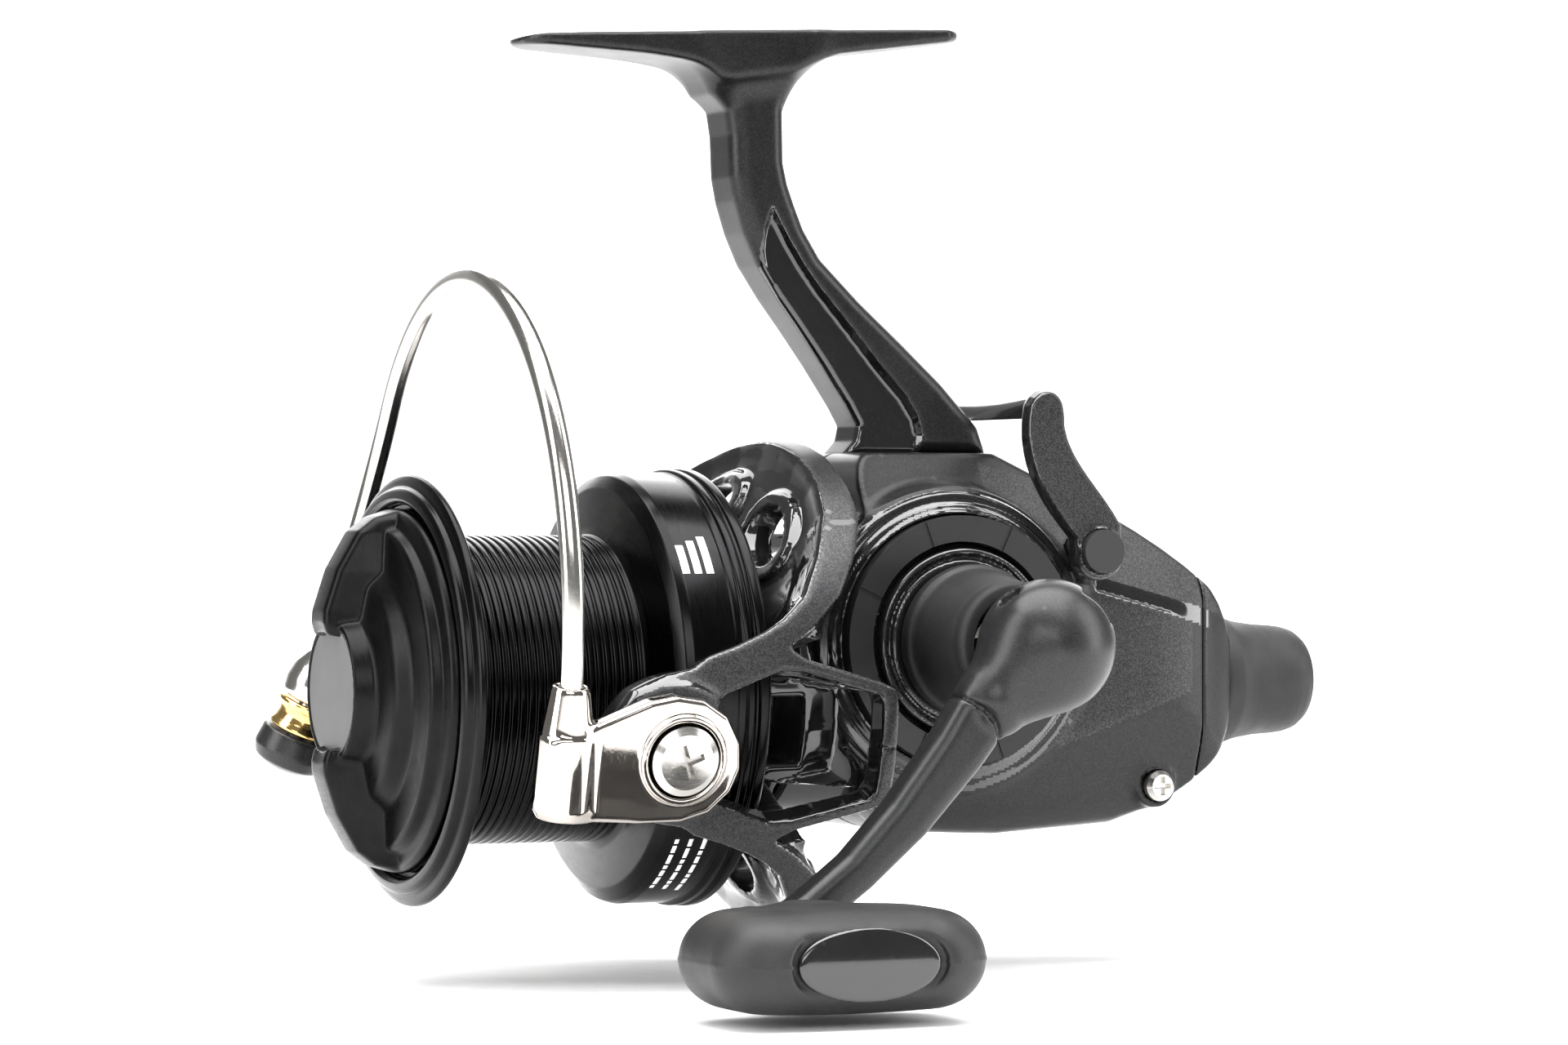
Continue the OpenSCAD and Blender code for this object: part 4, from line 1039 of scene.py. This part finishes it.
def band(g, points, widths):
    """Field of a bent strip in the side view, with a half width at each point."""
    best = None
    for (a, b), (ra, rb) in zip(zip(points, points[1:]), zip(widths, widths[1:])):
        ey, ez = b[0] - a[0], b[1] - a[1]
        t = np.clip(((g.y - a[0]) * ey + (g.z - a[1]) * ez) / (ey * ey + ez * ez), 0, 1)
        d = length(g.y - a[0] - ey * t, g.z - a[1] - ez * t) - (ra + (rb - ra) * t)
        best = d if best is None else np.minimum(best, d)
    return best


# Centre line of the crank arm in the side view, and half its width at each point
ARM = [(20.4, -79.6), (14.9, -83.9), (10.2, -90.6), (3.3, -98.8), (-3.2, -105.0), (-9.4, -109.6),
       (-13.6, -112.4)]
ARM_HALF = [4.4, 3.9, 3.5, 3.05, 2.6, 2.5, 2.7]


def make_crank():
    g = Grid((35.6, -22, -118.6), (52.4, 31.6, -69.2), 0.27)
    arm = band(g, ARM + [(KNOB_Y, KNOB_Z)], ARM_HALF + [3.4])
    bow = 0.9 * np.sin(np.clip((g.y + 16) / 34, 0, 1) * math.pi)
    field = plate(arm, g.x - CRANK_X + 0.4 + bow * 0.4, 2.9, 1.9)
    near = around(g, GEAR_Y, GEAR_Z)
    egg = (length((g.x - CRANK_X - 0.2) / 7.3, (g.y - GEAR_Y - 0.2) / 7.9, (g.z - GEAR_Z) / 7.9) - 1) * 7.0
    egg = join(egg, plate(near - 6.4, g.x - CRANK_X + 1.6, 5.4, 2.0), 3.0)
    hood = capsule(g, (CRANK_X, GEAR_Y - 1, GEAR_Z - 1), (CRANK_X - 0.2, 15.4, -84.6), 6.6, 4.7)
    egg = join(egg, hood, 3.0)
    field = join(field, egg, 0.7)
    boss = plate(around(g, KNOB_Y, KNOB_Z) - 4.5, g.x - CRANK_X, 3.05, 1.2)
    field = join(field, boss, 1.2)
    c, s = math.cos(CRANK_ANGLE), math.sin(CRANK_ANGLE)
    along = (g.y - GEAR_Y) * c + (g.z - GEAR_Z) * s
    across = -(g.y - GEAR_Y) * s + (g.z - GEAR_Z) * c
    slot = np.maximum(np.maximum(g.x - CRANK_X - 4.2, along - 4.2), np.abs(across) - 2.8)
    corner = (g.x - CRANK_X + along - 6.6) * 0.7071
    field = cut(field, np.maximum(slot, corner), 0.3)
    field = cut(field, length(g.x - CRANK_X, along) - 1.6)
    field = cut(field, around(g, KNOB_Y, KNOB_Z) - 2.02)
    field = cut(field, np.maximum(np.abs(along - 12.6 - 0.05 * across ** 2) - 0.24, -(field + 0.45)), 0.15)
    mesh = solid("crank", g, field, 5)
    piece("crank", mesh, CRANK, "crank", ["crank_arm"])


def make_knob():
    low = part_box("knob_grip")[0].x / MM
    g = Grid((low - 0.6, KNOB_Y - 18, KNOB_Z - 7.3), (78.3, KNOB_Y + 18, KNOB_Z + 7.3), 0.24)
    round_off = 7.4
    over_x = np.maximum(np.abs(g.x - 66.1) - 11.25 + round_off, 0)
    over_y = np.maximum(np.abs(g.y - KNOB_Y) - 17.1 + round_off, 0)
    plan = length(over_x, over_y) - round_off
    thick = 6.05 - 0.0022 * (g.y - KNOB_Y) ** 2 - 0.002 * (g.x - 66.2) ** 2
    body = length(np.maximum(plan + thick, 0), g.z - KNOB_Z) - thick
    axis = around(g, KNOB_Y, KNOB_Z)
    neck = np.maximum(axis - 4.6 - 0.35 * np.clip(g.x - 52, 0, 4), np.abs(g.x - 52.5) - 5.1)
    field = join(body, neck, 3.2)
    field = np.maximum(field, np.abs(g.z - KNOB_Z) - 6.15)
    collar = plate(axis - 5.0, g.x - 48.4, 1.0, 0.4)
    field = join(field, collar, 0.3)
    oval = (length((g.y - KNOB_Y) / 9.9, (g.z - KNOB_Z) / 5.0) - 1) * 5.0
    field = cut(field, np.maximum(oval, 76.15 - g.x), 0.5)
    rib = np.maximum(np.abs(g.z - KNOB_Z) - 0.14, field - 0.12)
    field = join(field, rib, 0.12)
    field = cut(field, np.maximum(axis - 2.06, g.x - 73))
    field = cut(field, np.maximum(axis - 3.6, np.abs(g.x - 73.9) - 1.1))
    mesh = solid("knob_paddle", g, field, 4)
    piece("knob_paddle", mesh, KNOB, "knob", ["knob_grip"], 180)
    g = Grid((75.6, KNOB_Y - 10.2, KNOB_Z - 5.6), (77.8, KNOB_Y + 10.2, KNOB_Z + 5.6), 0.16)
    oval = (length((g.y - KNOB_Y) / 9.0, (g.z - KNOB_Z) / 4.3) - 1) * 4.2
    dome = g.x - 77.25 + 0.035 * (g.z - KNOB_Z) ** 2 + 0.004 * (g.y - KNOB_Y) ** 2
    field = both(np.maximum(oval, 76.2 - g.x), dome, 0.4)
    mesh = solid("knob_oval", g, field, 6)
    piece("knob_oval", mesh, INLAY, "knob", ["knob_inlay"], 180)


def make_collar():
    profile = [(3.25, 22.1), (9.5, 22.1), (9.75, 22.6), (9.75, 24.2), (9.2, 24.7), (9.0, 25.4), (8.5, 29),
               (7.9, 32.8), (7.75, 33.4), (7.75, 34.8), (7.3, 35.6), (5.85, 35.6), (5.85, 28.8), (3.25, 28.8)]
    mesh = turned("soft_collar", profile, (0, GEAR_Y, GEAR_Z), (1, 0, 0), 144, 0.35)
    piece("soft_collar", mesh, SOFT, "handle", ["handle_collar"], 50)


# -------- lever and rear knob

LEVER = [(LEVER_Y + 3.8 * math.cos(math.radians(a)), LEVER_Z + 3.8 * math.sin(math.radians(a)))
         for a in range(-150, -20, 20)]
LEVER += arc((46, -65), (43.4, -59), (36.6, -55), (37.0, -49), 10)
LEVER += arc((37.0, -49), (36.9, -45.9), (33.8, -45.1), (32.2, -48), 8)
LEVER += arc((32.2, -48), (30.8, -55), (34, -60), (38.6, -65), 10)


def make_lever():
    g = Grid((-21.8, 28, -71.6), (21.8, 48, -42.6), 0.27)
    outline = polygon(g.y, g.z, LEVER)
    side = np.abs(g.x)
    field = plate(outline, side - 18.9, 1.5, 0.55)
    bar = capsule_outline((35, -47.8), 1.5, (34.7, -50.4), 1.1)
    sag = 0.9 * np.cos(np.clip(g.x / 18, -1, 1) * math.pi / 2)
    pad = plate(polygon(g.y, g.z + sag, bar), side, 18.6, 0.5)
    field = join(field, pad, 1.6)
    pin = around(g, LEVER_Y, LEVER_Z)
    field = join(field, plate(pin - 3.0, side - 19.2, 1.9, 0.4), 0.5)
    field = cut(field, pin - 1.85)
    field = cut(field, np.maximum(pin - 2.9, 20.4 - side))
    # only the bridge at the top runs across between the arms
    field = cut(field, side - 17.35 + 40 * (g.z > -50))
    mesh = solid("freespool_arms", g, field, 5)

    def paint(c, n):
        return np.where((np.abs(n[:, 0]) > 0.8) & (np.abs(c[:, 0]) > 19.5), 0, 1)

    recolour(mesh, paint)
    piece("freespool_arms", mesh, [PANEL, EDGE], "lever", ["freespool_lever"])


def make_rear_knob():
    profile = [(6.8, -76.4), (6.8, -67.1), (8.3, -67.1), (8.6, -67.6), (8.5, -69.8), (8.1, -71.0),
               (7.8, -72.2), (7.4, -75), (7.25, -77.5), (7.1, -79), (6.7, -80.4), (5.9, -81.5), (4.6, -82.1),
               (3, -82.2), (0, -82.2), (0, -77.6), (6.8, -77.6)]
    mesh = turned("tension_grip", profile, ON_AXIS, FORWARD, 144, 0.3)
    piece("tension_grip", mesh, SOFT, "tension_dial", ["rear_knob"], 50)


make_crank()
make_knob()
make_collar()
make_lever()
make_rear_knob()


# -------- studio


def studio():
    """Camera, a pale sweep to stand on, and soft boxes."""
    scene = bpy.context.scene
    scene.view_settings.view_transform = "Standard"
    target = Vector((0, 6.7, -63)) * MM
    turn, distance = math.radians(66), 0.69
    forward = Vector((-math.sin(turn), math.cos(turn), 0))
    camera = bpy.data.objects.new("camera", bpy.data.cameras.new("camera"))
    scene.collection.objects.link(camera)
    camera.location = target - forward * distance
    camera.rotation_euler = forward.to_track_quat("-Z", "Y").to_euler()
    camera.data.lens = 123
    camera.data.clip_start = 0.05
    scene.camera = camera

    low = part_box("knob_grip")[0].z - 0.0012
    half, rise, bend = 3.0, 2.4, 0.8
    section = [(-half, low), (half, low)]
    section += [(half + bend * math.sin(a), low + bend * (1 - math.cos(a))) for a in
                [math.radians(9 * k) for k in range(1, 11)]]
    section.append((half + bend, low + rise))
    verts, faces = [], []
    across = Vector((forward.y, -forward.x, 0))
    for along, z in section:
        for s in (-1, 1):
            verts.append(forward * along + across * (s * 5) + Vector((0, 0, z)))
    for i in range(len(section) - 1):
        faces.append([2 * i, 2 * i + 1, 2 * i + 3, 2 * i + 2])
    mesh = bpy.data.meshes.new("sweep")
    mesh.from_pydata(verts, [], faces)
    mesh.shade_smooth()
    floor = bpy.data.objects.new("sweep", mesh)
    scene.collection.objects.link(floor)
    paper, t, p = shader("paper", (0.9, 0.9, 0.9), 0.9, specular=0.1)
    grain = noise(t, place(t), 0.3, 4)
    t.links.new(ramp(t, grain, 0.88, 0.92), p.inputs["Base Color"])
    mesh.materials.append(paper)

    world = bpy.data.worlds.new("studio")
    world.use_nodes = True
    back = world.node_tree.nodes["Background"]
    back.inputs["Color"].default_value = (1, 1, 1, 1)
    back.inputs["Strength"].default_value = 0.24
    scene.world = world

    def soft_box(name, azimuth, height, away, size, power, aim=target):
        a = math.radians(azimuth)
        data = bpy.data.lights.new(name, "AREA")
        data.shape = "RECTANGLE"
        data.size, data.size_y = size
        data.energy = power
        obj = bpy.data.objects.new(name, data)
        scene.collection.objects.link(obj)
        obj.location = target + Vector((math.sin(a), -math.cos(a), 0)) * away + Vector((0, 0, height))
        obj.rotation_euler = (aim - obj.location).to_track_quat("-Z", "Y").to_euler()

    soft_box("top", 60, 0.95, 0.1, (1.3, 0.9), 29)
    soft_box("left", 5, 0.25, 0.9, (0.45, 1.2), 10)
    soft_box("right", 155, 0.3, 0.95, (0.4, 1.2), 9)
    soft_box("front", 70, 0.5, 1.2, (0.9, 0.5), 6)
    soft_box("back", 245, 0.7, 1.1, (1.4, 0.8), 10)
    wall = target + forward * (half + bend) + Vector((0, 0, 0.1))
    soft_box("backdrop", 246, 1.5, 1.9, (2.6, 0.6), 110, wall)


studio()
